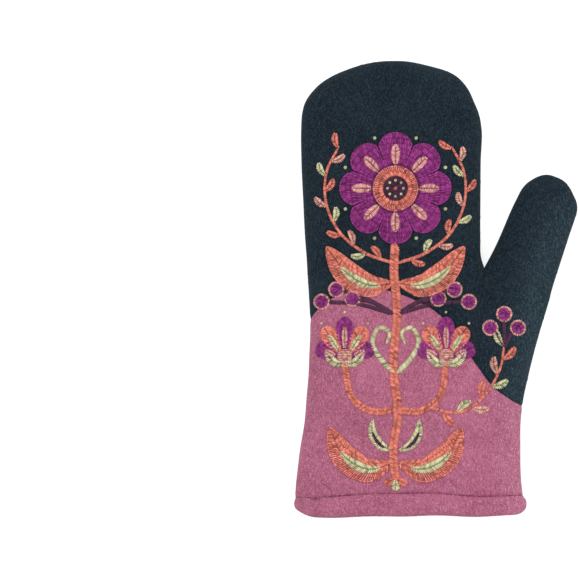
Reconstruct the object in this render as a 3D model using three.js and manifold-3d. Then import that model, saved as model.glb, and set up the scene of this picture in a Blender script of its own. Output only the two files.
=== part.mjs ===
// A left-hand felt mitten with a long gauntlet, lying on its palm. Millimetres, +Z up.
// +Y runs to the fingertips and +X to the thumb. The origin is under the middle of the whole outline, on the surface.
// The shell is a back and a palm of thick felt, sewn together round the edge. Both are pieced from an upper and a
// lower colour along an arched line, and a thick rolled hem finishes the open mouth.
import * as THREE from "three";
import { mergeVertices } from "three/addons/utils/BufferGeometryUtils.js";
import Module from "manifold-3d";

const wasm = await Module();
wasm.setup();

// Felt and seams
const FELT = 2.6; // wall thickness
const SEAM_GAP = 0.4; // open line left between two felt pieces
const SEAM_HEIGHT = 9; // height of the side seam over the surface

// Puff of the lying mitten, measured up and down from the side seam
const CROWN_AT_MOUTH = 21;
const CROWN_AT_FINGERS = 15;
const THUMB_CROWN = 11.5;
const SOLE = SEAM_HEIGHT; // the palm touches the surface
const CROWN_CURVE = 2.5; // power of the curve across the back: 2 is round, more is boxy
const SOLE_CURVE = 5; // the same under the palm
const SHOULDER = 1 / 2.2; // how sharply both curves turn into the seam
const SOLE_CLAMP = 1.12; // the palm's curve is cut off flat where it lies
const NOSE_CURVE = 2.4; // power of the curve over the fingertips and the thumb's tip

// Places along the mitten
const MOUTH_Y = -137; // where the felt meets the rolled hem
const FINGERS_Y = 108; // from here to the tip the mitten thins
const TIP_Y = 150.3;
const THUMB_THINS_AT = 40; // the same along the thumb
const THUMB_TIP = 73.4;

// The rolled hem
const HEM_WIDTH = 13.3;
const HEM_PROUD = 2.4; // how far the roll stands out from the felt
const HEM_INSIDE = 0.5; // and in from it
const HEM_ROUND = 0.8; // 1 is a plain oval roll, less is fuller
const HEM_RAMP = 24; // the palm lifts over this length to reach the hem
const HEM_CORNER_LIFT = 3; // the mouth edge draws up at both sides
const HEM_FOLLOWS = 0.45; // how much of the sewn line's bow shows in the mouth edge
const MOUTH_RISE = { height: 3, x: -19, width: 34 }; // the sewn line bows up over the back of the wrist

// Outline from the mouth to the thumb, in rows straight across
const BODY_ROWS = [
  { y: -137, left: -91.3, right: 58.2 },
  { y: -128, left: -90.8, right: 57.1 },
  { y: -119, left: -89.8, right: 56.5 },
  { y: -104, left: -88.0, right: 56.4 },
  { y: -88, left: -85.3, right: 56.6 },
  { y: -72, left: -84.0, right: 58.4 },
  { y: -57, left: -82.7, right: 61.7 },
  { y: -41, left: -82.1, right: 65.7 },
  { y: -27, left: -81.6, right: 69.6 },
  { y: -15, left: -81.8, right: 73.2 },
  { y: -5, left: -82.3, right: 76.1 },
  { y: 4, left: -82.8, right: 78.8 },
  { y: 11.5, left: -83.3, right: 81.0 },
];

// Outline of the fingers above the crotch
const FINGER_ROWS = [
  { y: 20, left: -83.7, right: 30.9 },
  { y: 34, left: -84.8, right: 30.2 },
  { y: 58, left: -86.0, right: 30.2 },
  { y: 85, left: -87.2, right: 30.4 },
  { y: 106, left: -87.3, right: 30.9 },
  { y: 116, left: -86.6, right: 29.0 },
  { y: 124, left: -84.2, right: 25.6 },
  { y: 130, left: -79.9, right: 23.0 },
  { y: 135.5, left: -74.3, right: 19.2 },
  { y: 140, left: -67.3, right: 14.6 },
  { y: 143.6, left: -59.2, right: 8.0 },
  { y: 146.4, left: -51.4, right: -1.8 },
  { y: 148.5, left: -44.2, right: -10.4 },
  { y: 149.6, left: -37.0, right: -16.5 },
  { y: 150, left: -31.5, right: -20.5 },
];

// Outline of the thumb, in rows square to its own axis, which leans outwards
const THUMB_ROOT = new THREE.Vector2(54.5, 5.8);
const THUMB_ROOT_HALF = 23.5;
const THUMB_ROOT_FLARE = 0.05; // the root widens by this much of each length below it
const THUMB_LEAN = THREE.MathUtils.degToRad(21);
const THUMB_ROWS = [
  { along: 8, left: -22.2, right: 22.9 },
  { along: 17, left: -21.3, right: 22.4 },
  { along: 28, left: -20.8, right: 21.8 },
  { along: 40, left: -20.4, right: 21.1 },
  { along: 51, left: -19.5, right: 20.7 },
  { along: 58, left: -18.6, right: 19.9 },
  { along: 62.4, left: -16.9, right: 17.6 },
  { along: 66, left: -14.4, right: 13.9 },
  { along: 69, left: -11.8, right: 10.7 },
  { along: 71.4, left: -8.9, right: 7.3 },
  { along: 72.9, left: -5.0, right: 3.0 },
];

// The crotch between the fingers and the thumb
const CROTCH = new THREE.Vector2(32.7, 14.2);
const CROTCH_HALF_ANGLE = THREE.MathUtils.degToRad(13);
const CROTCH_CLEARANCE = 1.5; // a body row nearer to the crotch than this is left out
const ROW_BEND = 60; // rows turn square to the thumb over this length
const CROTCH_DENT = 34; // the valley below the crotch fades over this length
const DENT_POWER = 2.2;

// The line where the lower colour meets the upper one, over the back and under the palm
const COLOUR_LINE = [
  [-110, -44], [-90, -26], [-81, -17.5], [-74, -10.8], [-62, -2.6], [-47, 1.5], [-30, -1.0], [-12, -7.5],
  [3, -16.5], [15, -31.5], [26, -48], [37, -62.5], [48, -71], [60, -77.5], [80, -86], [110, -96],
].map(([x, y]) => new THREE.Vector2(x, y));
const COLOUR_LINE_STEPS = 60;

// Blocks that cut the shell into its felt pieces reach past it on every side
const REACH = { side: 110, end: 180, below: -20, above: 80 };

// Mesh density
const HAND_COLUMNS = 16;
const THUMB_COLUMNS = 8;
const HEM_SIDES = 10;
const WELD = 1e-4;

const FELT_UPPER = new THREE.MeshStandardMaterial({ color: 0x222c34, roughness: 0.95, metalness: 0 });
const FELT_LOWER = new THREE.MeshStandardMaterial({ color: 0xb0657c, roughness: 0.95, metalness: 0 });

const mix = THREE.MathUtils.lerp;
const point = (x, y) => new THREE.Vector2(x, y);
const clamped = (share) => THREE.MathUtils.clamp(share, 0, 1);
const smoothStep = (share) => THREE.MathUtils.smoothstep(share, 0, 1);

const thumbAxis = point(Math.sin(THUMB_LEAN), Math.cos(THUMB_LEAN));
const thumbAcross = point(Math.cos(THUMB_LEAN), -Math.sin(THUMB_LEAN));

function thumbPoint(along, across) {
  return THUMB_ROOT.clone().addScaledVector(thumbAxis, along).addScaledVector(thumbAcross, across);
}

// 1 at full height, falling to 0 in a round nose between two places.
function noseAt(place, from, to) {
  return Math.sqrt(1 - clamped((place - from) / (to - from)) ** NOSE_CURVE);
}

// Moves a place near a tip back by the inset, so that the wall is as thick there as at the sides.
function drawnBack(place, from, to, inset) {
  return place > from ? mix(from, to - inset, (place - from) / (to - from)) : place;
}

// The left or right edge of the body's outline at a height between its rows.
function edgeAt(y, side) {
  const k = Math.max(1, BODY_ROWS.findIndex((row) => row.y >= y));
  const near = BODY_ROWS[k - 1];
  const far = BODY_ROWS[k];
  return mix(near[side], far[side], (y - near.y) / (far.y - near.y));
}

// Height of the back over the side seam, at its middle.
function crownAt(y, inset) {
  const along = clamped((y - MOUTH_Y) / (FINGERS_Y - MOUTH_Y));
  return (mix(CROWN_AT_MOUTH, CROWN_AT_FINGERS, along) - inset) * noseAt(y, FINGERS_Y, TIP_Y);
}

// Depth of the palm below the side seam. It is less by the hem, which stands proud and carries the mouth.
function soleAt(y, inset) {
  const lift = HEM_PROUD * smoothStep((MOUTH_Y + HEM_RAMP - y) / HEM_RAMP);
  return (SOLE - lift - inset) * noseAt(y, FINGERS_Y, TIP_Y);
}

// Share of the full height across a section, for a place from -1 at its left edge to 1 at its right one.
function archAt(place, power) {
  return (1 - clamped(Math.abs(place)) ** power) ** SHOULDER;
}

// One column of a section: where it stands, and how far its felt lies over and under the side seam.
function columnAt(x, y, place, crown, sole) {
  const top = crown * archAt(place, CROWN_CURVE);
  const bottom = -sole * Math.min(1, SOLE_CLAMP * archAt(place, SOLE_CURVE));
  return { x, y, top, bottom };
}

// The columns of a straight section, closer together at both ends, where the felt turns down to the seam.
function section(from, to, count, crown, sole) {
  return Array.from({ length: count + 1 }, (_, i) => {
    const place = -Math.cos((Math.PI * i) / count);
    const spot = from.clone().lerp(to, (place + 1) / 2);
    return columnAt(spot.x, spot.y, place, crown, sole);
  });
}

// One closed ring: over the back from left to right, then under the palm from right to left.
function ringOf(columns) {
  const over = columns.map(({ x, y, top }) => new THREE.Vector3(x, y, SEAM_HEIGHT + top));
  const under = columns.slice(1, -1).map(({ x, y, bottom }) => new THREE.Vector3(x, y, SEAM_HEIGHT + bottom));
  return [...over, ...under.reverse()];
}

// Joins neighbouring rings of equal length by triangles that face out.
function wallBetween(rings) {
  const corners = [];
  for (let k = 0; k + 1 < rings.length; k += 1) {
    const near = rings[k];
    const far = rings[k + 1];
    near.forEach((start, i) => {
      const next = (i + 1) % near.length;
      corners.push(start, near[next], far[next], start, far[next], far[i]);
    });
  }
  return corners;
}

// Closes a ring with a fan round its middle, which faces towards +Y or -Y.
function cap(ring, facing) {
  const middle = ring.reduce((sum, spot) => sum.add(spot), new THREE.Vector3()).divideScalar(ring.length);
  return ring.flatMap((spot, i) => {
    const next = ring[(i + 1) % ring.length];
    return facing > 0 ? [middle, spot, next] : [middle, next, spot];
  });
}

function solidFromGeometry(geometry) {
  geometry.deleteAttribute("normal");
  geometry.deleteAttribute("uv");
  const welded = mergeVertices(geometry, WELD);
  const vertProperties = new Float32Array(welded.attributes.position.array);
  const triVerts = new Uint32Array(welded.index.array);
  return new wasm.Manifold(new wasm.Mesh({ numProp: 3, vertProperties, triVerts }));
}

function solidFromCorners(corners) {
  return solidFromGeometry(new THREE.BufferGeometry().setFromPoints(corners));
}

function geometryOf(solid) {
  const { vertProperties, triVerts } = solid.getMesh();
  const geometry = new THREE.BufferGeometry();
  geometry.setAttribute("position", new THREE.BufferAttribute(new Float32Array(vertProperties), 3));
  geometry.setIndex(new THREE.BufferAttribute(new Uint32Array(triVerts), 1));
  geometry.computeVertexNormals();
  return geometry;
}

// A skin that lies `inset` inside the outer one: its crotch, and the outer end of the section through the crotch.
function layerAt(inset) {
  const crotch = point(CROTCH.x - inset, CROTCH.y - inset / Math.tan(CROTCH_HALF_ANGLE));
  const along = crotch.clone().sub(THUMB_ROOT).dot(thumbAxis);
  const rootEnd = thumbPoint(along, THUMB_ROOT_HALF - inset - THUMB_ROOT_FLARE * Math.min(0, along));
  return { inset, crotch, rootEnd };
}

// The section through the crotch. It is bent there, so that its thumb half lies square to the thumb.
function crotchSection({ inset, crotch, rootEnd }) {
  const leftEnd = point(edgeAt(crotch.y, "left") + inset, crotch.y);
  const hand = section(leftEnd, crotch, HAND_COLUMNS, crownAt(crotch.y, inset), soleAt(crotch.y, inset));
  const thumb = section(crotch, rootEnd, THUMB_COLUMNS, THUMB_CROWN - inset, SOLE - inset);
  return [...hand, ...thumb.slice(1)];
}

// Sections from the mouth up to the crotch. They take on the bend and the valley of the crotch as they near it.
function bodySections({ inset, crotch, rootEnd }, crotchColumns) {
  const leftmost = crotchColumns[0].x;
  const drop = rootEnd.y - crotch.y;
  return BODY_ROWS.filter((row) => row.y < crotch.y - CROTCH_CLEARANCE).map((row) => {
    const below = crotch.y - row.y;
    const bend = smoothStep(1 - below / ROW_BEND);
    const dent = clamped(1 - below / CROTCH_DENT) ** DENT_POWER;
    const nearMouth = clamped(1 - (row.y - MOUTH_Y) / HEM_RAMP);
    const left = row.left + inset;
    const right = edgeAt(row.y + drop * bend, "right") - inset;
    return crotchColumns.map((end) => {
      const share = (end.x - leftmost) / (rootEnd.x - leftmost);
      const x = mix(left, right, share);
      const y = row.y + (end.y - crotch.y) * bend;
      const plain = columnAt(x, y, 2 * share - 1, crownAt(row.y, inset), soleAt(row.y, inset));
      const top = mix(plain.top, end.top, dent);
      const bow = Math.exp(-(((x - MOUTH_RISE.x) / MOUTH_RISE.width) ** 2));
      const rise = MOUTH_RISE.height * bow * nearMouth * (top / CROWN_AT_MOUTH);
      return { x, y: y + rise, top, bottom: mix(plain.bottom, end.bottom, dent) };
    });
  });
}

function fingerSection({ y, left, right }, inset) {
  const drawn = drawnBack(y, FINGERS_Y, TIP_Y, inset);
  const leftEnd = point(left + inset, drawn);
  const rightEnd = point(right - inset, drawn);
  return section(leftEnd, rightEnd, HAND_COLUMNS, crownAt(y, inset), soleAt(y, inset));
}

function thumbSection({ along, left, right }, inset) {
  const drawn = drawnBack(along, THUMB_THINS_AT, THUMB_TIP, inset);
  const thinned = noseAt(along, THUMB_THINS_AT, THUMB_TIP);
  const leftEnd = thumbPoint(drawn, left + inset);
  const rightEnd = thumbPoint(drawn, right - inset);
  return section(leftEnd, rightEnd, THUMB_COLUMNS, (THUMB_CROWN - inset) * thinned, (SOLE - inset) * thinned);
}

// The hand and the thumb as one closed body under a skin. The hollow's body runs out through the mouth.
function mittenBody(inset) {
  const layer = layerAt(inset);
  const crotchColumns = crotchSection(layer);
  const body = [...bodySections(layer, crotchColumns), crotchColumns];
  const mouth = body[0];
  if (inset > 0) {
    body.unshift(mouth.map((column) => ({ ...column, y: MOUTH_Y - 2 * HEM_WIDTH })));
  }
  const bodyRings = body.map(ringOf);
  const fingerRings = [
    ringOf(crotchColumns.slice(0, HAND_COLUMNS + 1)),
    ...FINGER_ROWS.map((row) => ringOf(fingerSection(row, inset))),
  ];
  const thumbRings = [
    ringOf(crotchColumns.slice(HAND_COLUMNS)),
    ...THUMB_ROWS.map((row) => ringOf(thumbSection(row, inset))),
  ];
  const solid = solidFromCorners([
    ...cap(bodyRings[0], -1),
    ...wallBetween(bodyRings),
    ...wallBetween(fingerRings),
    ...cap(fingerRings.at(-1), 1),
    ...wallBetween(thumbRings),
    ...cap(thumbRings.at(-1), 1),
  ]);
  return { solid, mouth };
}

// The rolled hem: a fat round-edged band that follows the mouth all the way round.
function rolledHem(mouth) {
  const ring = ringOf(mouth);
  const thick = (HEM_PROUD + FELT + HEM_INSIDE) / 2;
  const bulge = (value) => Math.sign(value) * Math.abs(value) ** HEM_ROUND;
  const rolls = ring.map((spot, i) => {
    const before = ring.at(i - 1);
    const after = ring[(i + 1) % ring.length];
    const outward = new THREE.Vector3(before.z - after.z, 0, after.x - before.x).normalize();
    const sewn = spot.y - SEAM_GAP;
    const edge = MOUTH_Y - HEM_WIDTH + HEM_FOLLOWS * (spot.y - MOUTH_Y) + HEM_CORNER_LIFT * outward.x ** 4;
    const middle = (sewn + edge) / 2;
    return Array.from({ length: HEM_SIDES }, (_, k) => {
      const turn = (-2 * Math.PI * k) / HEM_SIDES;
      const out = HEM_PROUD - thick + thick * bulge(Math.cos(turn));
      const y = middle + (sewn - middle) * bulge(Math.sin(turn));
      return new THREE.Vector3(spot.x, y, spot.z).addScaledVector(outward, out);
    });
  });
  return solidFromCorners(wallBetween([...rolls, rolls[0]]));
}

// A straight-sided block over a flat outline that runs counterclockwise.
function blockOver(outline, low, high) {
  const geometry = new THREE.ExtrudeGeometry(new THREE.Shape(outline), { depth: high - low, bevelEnabled: false });
  return solidFromGeometry(geometry.translate(0, 0, low));
}

function slab(low, high) {
  const { side, end } = REACH;
  return blockOver([point(-side, -end), point(side, -end), point(side, end), point(-side, end)], low, high);
}

// Everything on one side of the colour line: towards the fingertips for 1, towards the mouth for -1.
function colourRegion(towards) {
  const line = new THREE.SplineCurve(COLOUR_LINE).getPoints(COLOUR_LINE_STEPS);
  const shifted = line.map(({ x, y }) => point(x, y + (towards * SEAM_GAP) / 2));
  const end = towards * REACH.end;
  return blockOver([...shifted, point(REACH.side, end), point(-REACH.side, end)], REACH.below, REACH.above);
}

const outer = mittenBody(0);
const shell = outer.solid.subtract(mittenBody(FELT).solid);
const back = shell.intersect(slab(SEAM_HEIGHT + SEAM_GAP / 2, REACH.above));
const palm = shell.intersect(slab(REACH.below, SEAM_HEIGHT - SEAM_GAP / 2));
const mitten = new THREE.Group();

function addPiece(name, solid, material) {
  const mesh = new THREE.Mesh(geometryOf(solid), material);
  mesh.name = name;
  mitten.add(mesh);
}

addPiece("back_upper", back.intersect(colourRegion(1)), FELT_UPPER);
addPiece("back_gauntlet", back.intersect(colourRegion(-1)), FELT_LOWER);
addPiece("palm_upper", palm.intersect(colourRegion(1)), FELT_UPPER);
addPiece("palm_gauntlet", palm.intersect(colourRegion(-1)), FELT_LOWER);
addPiece("rolled_hem", rolledHem(outer.mouth), FELT_LOWER);

export default mitten;
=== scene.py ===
"""Dresses one felt mitten: sewn felt panels, a rolled and stitched hem, and an embroidered spray."""

import logging
import math
from collections.abc import Callable, Iterable, Sequence
from dataclasses import dataclass, field
from enum import Enum
from typing import NamedTuple

import bmesh
import bpy
import numpy as np
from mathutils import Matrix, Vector
from mathutils.bvhtree import BVHTree


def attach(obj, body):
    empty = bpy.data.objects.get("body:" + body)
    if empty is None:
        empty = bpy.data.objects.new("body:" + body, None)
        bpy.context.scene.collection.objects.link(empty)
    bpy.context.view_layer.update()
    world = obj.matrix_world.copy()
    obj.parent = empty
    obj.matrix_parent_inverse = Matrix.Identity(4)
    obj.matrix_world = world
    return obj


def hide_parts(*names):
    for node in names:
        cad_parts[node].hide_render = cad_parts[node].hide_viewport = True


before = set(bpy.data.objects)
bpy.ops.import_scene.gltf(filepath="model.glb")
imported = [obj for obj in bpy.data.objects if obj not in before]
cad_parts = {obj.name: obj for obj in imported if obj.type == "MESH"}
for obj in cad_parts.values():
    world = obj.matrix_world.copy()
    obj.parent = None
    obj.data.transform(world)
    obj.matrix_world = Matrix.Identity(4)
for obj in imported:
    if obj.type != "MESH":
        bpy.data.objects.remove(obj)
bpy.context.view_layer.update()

log = logging.getLogger("mitten")

MM = 0.001
BODY = "root"
Points = np.ndarray
Faces = list[tuple[int, ...]]
Field = Callable[[Points], Points]
Colour = tuple[float, float, float]
Spot = tuple[float, float]
Route = Sequence[Spot]


class Row(NamedTuple):
    """One row of an outline, in millimetres: its place and its left and right edges."""

    along: float
    left: float
    right: float


# The row at which the hem is sewn on
MOUTH_ROW = Row(-137, -91.3, 58.2)

# Outline from just past the mouth to the thumb, in rows straight across
BODY_ROWS = [
    Row(-145, -91.8, 59.2),
    MOUTH_ROW,
    Row(-128, -90.8, 57.1),
    Row(-119, -89.8, 56.5),
    Row(-104, -88.0, 56.4),
    Row(-88, -85.3, 56.6),
    Row(-72, -84.0, 58.4),
    Row(-57, -82.7, 61.7),
    Row(-41, -82.1, 65.7),
    Row(-27, -81.6, 69.6),
    Row(-15, -81.8, 73.2),
    Row(-5, -82.3, 76.1),
    Row(4, -82.8, 78.8),
    Row(11.5, -83.3, 81.0),
]

# Outline of the fingers above the crotch
FINGER_ROWS = [
    Row(14.2, -83.4, 32.7),
    Row(20, -83.7, 30.9),
    Row(34, -84.8, 30.2),
    Row(58, -86.0, 30.2),
    Row(85, -87.2, 30.4),
    Row(106, -87.3, 30.9),
    Row(116, -86.6, 29.0),
    Row(124, -84.2, 25.6),
    Row(130, -79.9, 23.0),
    Row(135.5, -74.3, 19.2),
    Row(140, -67.3, 14.6),
    Row(143.6, -59.2, 8.0),
    Row(146.4, -51.4, -1.8),
    Row(148.5, -44.2, -10.4),
    Row(149.6, -37.0, -16.5),
    Row(150, -31.5, -20.5),
]

# Outline of the thumb, in rows square to its own axis
THUMB_ROWS = [
    Row(0, -23.3, 23.5),
    Row(8, -22.2, 22.9),
    Row(17, -21.3, 22.4),
    Row(28, -20.8, 21.8),
    Row(40, -20.4, 21.1),
    Row(51, -19.5, 20.7),
    Row(58, -18.6, 19.9),
    Row(62.4, -16.9, 17.6),
    Row(66, -14.4, 13.9),
    Row(69, -11.8, 10.7),
    Row(71.4, -8.9, 7.3),
    Row(72.9, -5.0, 3.0),
]

# The line where the lower colour meets the upper one
COLOUR_LINE = np.array(
    [
        (-110, -66), (-90, -34), (-81.6, -20.3), (-79, -16), (-74, -10.8), (-62, -2.6), (-47, 1.5),
        (-30, -1.0), (-12, -7.5), (3, -16.5), (15, -31.5), (26, -48), (37, -62.5), (48, -71),
        (60, -77.5), (80, -86), (110, -96),
    ]
)

# Painted sheen of light from the right: the felt is painted paler from the mouth up to the outer side of
# the thumb
PAINTED_SHEEN_LINE = np.array(
    [(57, -147), (53, -120), (53, -88), (55, -60), (60, -34), (67.5, -7), (75, 24), (86, 48)]
)
PAINTED_SHEEN_REACH = 13.0

# Step between the points of a drawn line
LINE_STEP = 0.5


class HemSpot(NamedTuple):
    """A place across the mouth, with the hem's sewn line and its free edge there, in millimetres."""

    across: float
    sewn: float
    free: float


# The hem dips at its pucker on the left and rises a little in the middle
HEM_SPOTS = [
    HemSpot(-94, -136.3, -148.7),
    HemSpot(-80, -136.6, -148.9),
    HemSpot(-68, -135.3, -148.7),
    HemSpot(-49, -134.0, -148.1),
    HemSpot(-22, -132.9, -147.6),
    HemSpot(-3, -133.1, -147.3),
    HemSpot(24, -134.9, -147.9),
    HemSpot(43, -135.4, -147.8),
    HemSpot(61, -135.2, -147.4),
]


class Corner(NamedTuple):
    """A round corner of the hem's free edge: how far it rises, how far in it starts, and how full it is."""

    rise: float
    run: float
    power: float


class SeamForm(NamedTuple):
    """The shade painted along a sewn line, how far it draws the felt in, and the reach of each in
    millimetres.
    """

    dark: float
    shade_reach: float
    dip: float
    dip_reach: float


class NoiseLayer(NamedTuple):
    """One layer of a mottled colour: cells in a metre, finer layers, their strength, and its share."""

    scale: float
    detail: float
    roughness: float
    share: float


class Panel(Enum):
    """The four felt panels, by the CAD node that each one stands for."""

    BACK_UPPER = "back_upper"
    BACK_GAUNTLET = "back_gauntlet"
    PALM_UPPER = "palm_upper"
    PALM_GAUNTLET = "palm_gauntlet"


class Thread(Enum):
    """The embroidery threads, by the record's material slot."""

    VIOLET = "thread_violet"
    CORAL = "thread_coral"
    GREEN = "thread_green"
    ROSE = "thread_rose"
    PLUM = "thread_plum"


class Shade:
    """One output socket of a material, with arithmetic that adds Math nodes."""

    def __init__(self, tree: bpy.types.NodeTree, socket: bpy.types.NodeSocket) -> None:
        """Wraps a socket of a tree."""
        self.tree = tree
        self.socket = socket

    def _math(self, operation: str, first: "Shade | float", second: "Shade | float") -> "Shade":
        """Adds one Math node.

        Args:
            operation: the Math node's operation.
            first: its first value or link.
            second: its second value or link.

        Returns:
            The node's result.
        """
        node = self.tree.nodes.new("ShaderNodeMath")
        node.operation = operation
        for place, value in enumerate((first, second)):
            if isinstance(value, Shade):
                self.tree.links.new(value.socket, node.inputs[place])
            else:
                node.inputs[place].default_value = value
        return Shade(self.tree, node.outputs[0])

    def __add__(self, other: "Shade | float") -> "Shade":
        """Returns self + other."""
        return self._math("ADD", self, other)

    def __sub__(self, other: "Shade | float") -> "Shade":
        """Returns self - other."""
        return self._math("SUBTRACT", self, other)

    def __rsub__(self, other: float) -> "Shade":
        """Returns other - self."""
        return self._math("SUBTRACT", other, self)

    def __mul__(self, other: "Shade | float") -> "Shade":
        """Returns self * other."""
        return self._math("MULTIPLY", self, other)

    def __pow__(self, other: "Shade | float") -> "Shade":
        """Returns self ** other."""
        return self._math("POWER", self, other)

    __radd__ = __add__
    __rmul__ = __mul__


class NodeBench:
    """A new material and the one method that adds its nodes."""

    def __init__(self, name: str) -> None:
        """Starts a material that holds only its output and a Principled shader."""
        self.material = bpy.data.materials.new(name)
        self.material.use_nodes = True
        self.tree = self.material.node_tree
        self.shader = next(n for n in self.tree.nodes if n.type == "BSDF_PRINCIPLED")

    def add(
        self, kind: str, settings: dict | None = None, inputs: dict | None = None, output: int | str = 0
    ) -> Shade:
        """Adds a node.

        Args:
            kind: the node's type.
            settings: its properties, set first; "stops" gives a ramp's places and grey values.
            inputs: a value or a link for each named or numbered socket.
            output: the name or number of the socket to return.

        Returns:
            The chosen output.
        """
        node = self.tree.nodes.new(kind)
        for key, value in (settings or {}).items():
            if key == "stops":
                self._set_stops(node.color_ramp, value)
            else:
                setattr(node, key, value)
        for key, value in (inputs or {}).items():
            if isinstance(value, Shade):
                self.tree.links.new(value.socket, node.inputs[key])
            else:
                node.inputs[key].default_value = value
        return Shade(self.tree, node.outputs[output])

    def _set_stops(self, ramp: bpy.types.ColorRamp, stops: Sequence[tuple[float, float]]) -> None:
        """Sets a ramp's stops, each a place and a grey value."""
        while len(ramp.elements) < len(stops):
            ramp.elements.new(0.5)
        for element, (place, grey) in zip(ramp.elements, stops):
            element.position = place
            element.color = (grey, grey, grey, 1)

    def tint(self, share: "Shade | float", low: "Shade | Colour", high: "Shade | Colour") -> Shade:
        """Mixes two colours.

        Args:
            share: how much of the second colour shows.
            low: the first colour.
            high: the second colour.

        Returns:
            The mixed colour.
        """
        colours = [c if isinstance(c, Shade) else (*c, 1) for c in (low, high)]
        inputs = {0: share, 6: colours[0], 7: colours[1]}
        return self.add("ShaderNodeMix", {"data_type": "RGBA"}, inputs, output=2)

    def noise(self, scale: float, detail: float, vector: Shade, roughness: float = 0.5) -> Shade:
        """Adds a noise texture.

        Args:
            scale: cells in a metre.
            detail: number of finer layers.
            vector: the place to read it at.
            roughness: strength of the finer layers.

        Returns:
            Its value, about 0.5 in the middle.
        """
        inputs = {"Vector": vector, "Scale": scale, "Detail": detail, "Roughness": roughness}
        return self.add("ShaderNodeTexNoise", None, inputs)

    def stored(self, name: str) -> Shade:
        """Adds a number that the mesh stores for each vertex."""
        return self.add("ShaderNodeAttribute", {"attribute_name": name}, output="Fac")

    def ramp(self, value: Shade, ends: tuple[float, float]) -> Shade:
        """Adds a ramp that rises from 0 to 1 while its value goes from one end to the other."""
        return self.add("ShaderNodeValToRGB", {"stops": [(ends[0], 0), (ends[1], 1)]}, {0: value})

    def bump(self, height: Shade, strength: float, depth: float) -> Shade:
        """Adds a bump of a depth in millimetres, for the shader's normal."""
        inputs = {"Strength": strength, "Distance": depth * MM, "Height": height}
        return self.add("ShaderNodeBump", None, inputs)

    def blend(self, parts: Sequence[Shade], shares: Sequence[float]) -> Shade:
        """Adds up values, each times its share.

        Args:
            parts: the values.
            shares: each one's share.

        Returns:
            Their sum.
        """
        total = parts[0] * shares[0]
        for part, share in zip(parts[1:], shares[1:]):
            total = total + part * share
        return total

    def set(self, **values: "Shade | float | Colour") -> None:
        """Sets or links the shader's sockets, named with _ for each space."""
        for key, value in values.items():
            socket = self.shader.inputs[key.replace("_", " ")]
            if isinstance(value, Shade):
                self.tree.links.new(value.socket, socket)
            elif isinstance(value, tuple):
                socket.default_value = (*value, 1)
            else:
                socket.default_value = value


@dataclass(frozen=True)
class FeltFinish:
    """Heathered wool felt: mottled dye, lighter flecks, crossed fibres and a soft nap."""

    name: str
    deep: Colour
    dye: Colour
    fleck: Colour
    sheen: Colour
    nap: float
    gloss: float
    fleck_share: float
    # Strength of the painted sheen of side light on this felt
    painted_sheen_strength: float
    # Painted shade along the seams: its strength, and the darker copy of the deep dye it tends to
    seam_shade_strength: float = 0.6
    seam_shade_tone: float = 0.3
    # How much the painted sheen adds to the flecks and to the whole felt
    painted_sheen_on_flecks: float = 1.3
    painted_sheen_on_all: float = 0.2
    grain: NoiseLayer = NoiseLayer(scale=1050, detail=4, roughness=0.7, share=0.58)
    mottle: NoiseLayer = NoiseLayer(scale=260, detail=4, roughness=0.6, share=0.24)
    cloud: NoiseLayer = NoiseLayer(scale=34, detail=3, roughness=0.5, share=0.18)
    dye_range: tuple[float, float] = (0.41, 0.59)
    fleck_range: tuple[float, float] = (0.5, 0.62)
    fleck_shares: tuple[float, float] = (0.7, 0.3)
    height_shares: tuple[float, float] = (0.6, 0.4)
    fibre_turns: tuple[float, ...] = (0.5, -0.65, 1.75)
    fibre_shares: tuple[float, ...] = (0.4, 0.35, 0.25)
    fibre_tilt: tuple[float, float] = (0.4, 0.3)
    fibre_scale: tuple[float, float, float] = (1700, 380, 1100)
    fibre_roughness: float = 0.7
    bump_strength: float = 0.8
    bump_depth: float = 0.4
    roughness: float = 0.93
    sheen_roughness: float = 0.6

    def build(self) -> bpy.types.Material:
        """Makes the material.

        Returns:
            The felt, which reads its painted sheen and the painted shade along seams from the mesh.
        """
        bench = NodeBench(self.name)
        place = bench.add("ShaderNodeTexCoord", output="Object")
        strands = [self._fibres(bench, place, turn) for turn in self.fibre_turns]
        layers = (self.grain, self.mottle, self.cloud)
        noises = [bench.noise(layer.scale, layer.detail, place, layer.roughness) for layer in layers]
        fibre = bench.blend(strands, self.fibre_shares)
        finest = (fibre, noises[0])
        spread = bench.ramp(bench.blend(noises, [layer.share for layer in layers]), self.dye_range)
        flecks = bench.ramp(bench.blend(finest, self.fleck_shares), self.fleck_range)
        dyed = bench.tint(spread, self.deep, self.dye)
        # Painted sheen: where side light catches the felt it gets more and paler flecks
        painted_sheen = bench.stored("painted_sheen") * self.painted_sheen_strength
        shown = flecks * (painted_sheen * self.painted_sheen_on_flecks + self.fleck_share) + painted_sheen * self.painted_sheen_on_all
        flecked = bench.tint(shown, dyed, self.fleck)
        # Painted shade along the seams, mixed towards a darker copy of the deep dye
        sewn = tuple(self.seam_shade_tone * c for c in self.deep)
        shaded = bench.tint(bench.stored("seam") * self.seam_shade_strength, flecked, sewn)
        height = bench.blend(finest, self.height_shares)
        bump = bench.bump(height, self.bump_strength, self.bump_depth)
        bench.set(Base_Color=shaded, Roughness=self.roughness, Normal=bump, Specular_IOR_Level=self.gloss)
        bench.set(Sheen_Weight=self.nap, Sheen_Roughness=self.sheen_roughness, Sheen_Tint=self.sheen)
        return bench.material

    def _fibres(self, bench: NodeBench, place: Shade, turn: float) -> Shade:
        """Adds fibres that lie one way.

        Args:
            bench: the material.
            place: the place to read them at.
            turn: their direction, in radians.

        Returns:
            A value that is high on a fibre.
        """
        inputs = {"Vector": place, "Rotation": (*self.fibre_tilt, turn), "Scale": self.fibre_scale}
        stretched = bench.add("ShaderNodeMapping", None, inputs)
        return bench.noise(1, 2, stretched, self.fibre_roughness)


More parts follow.
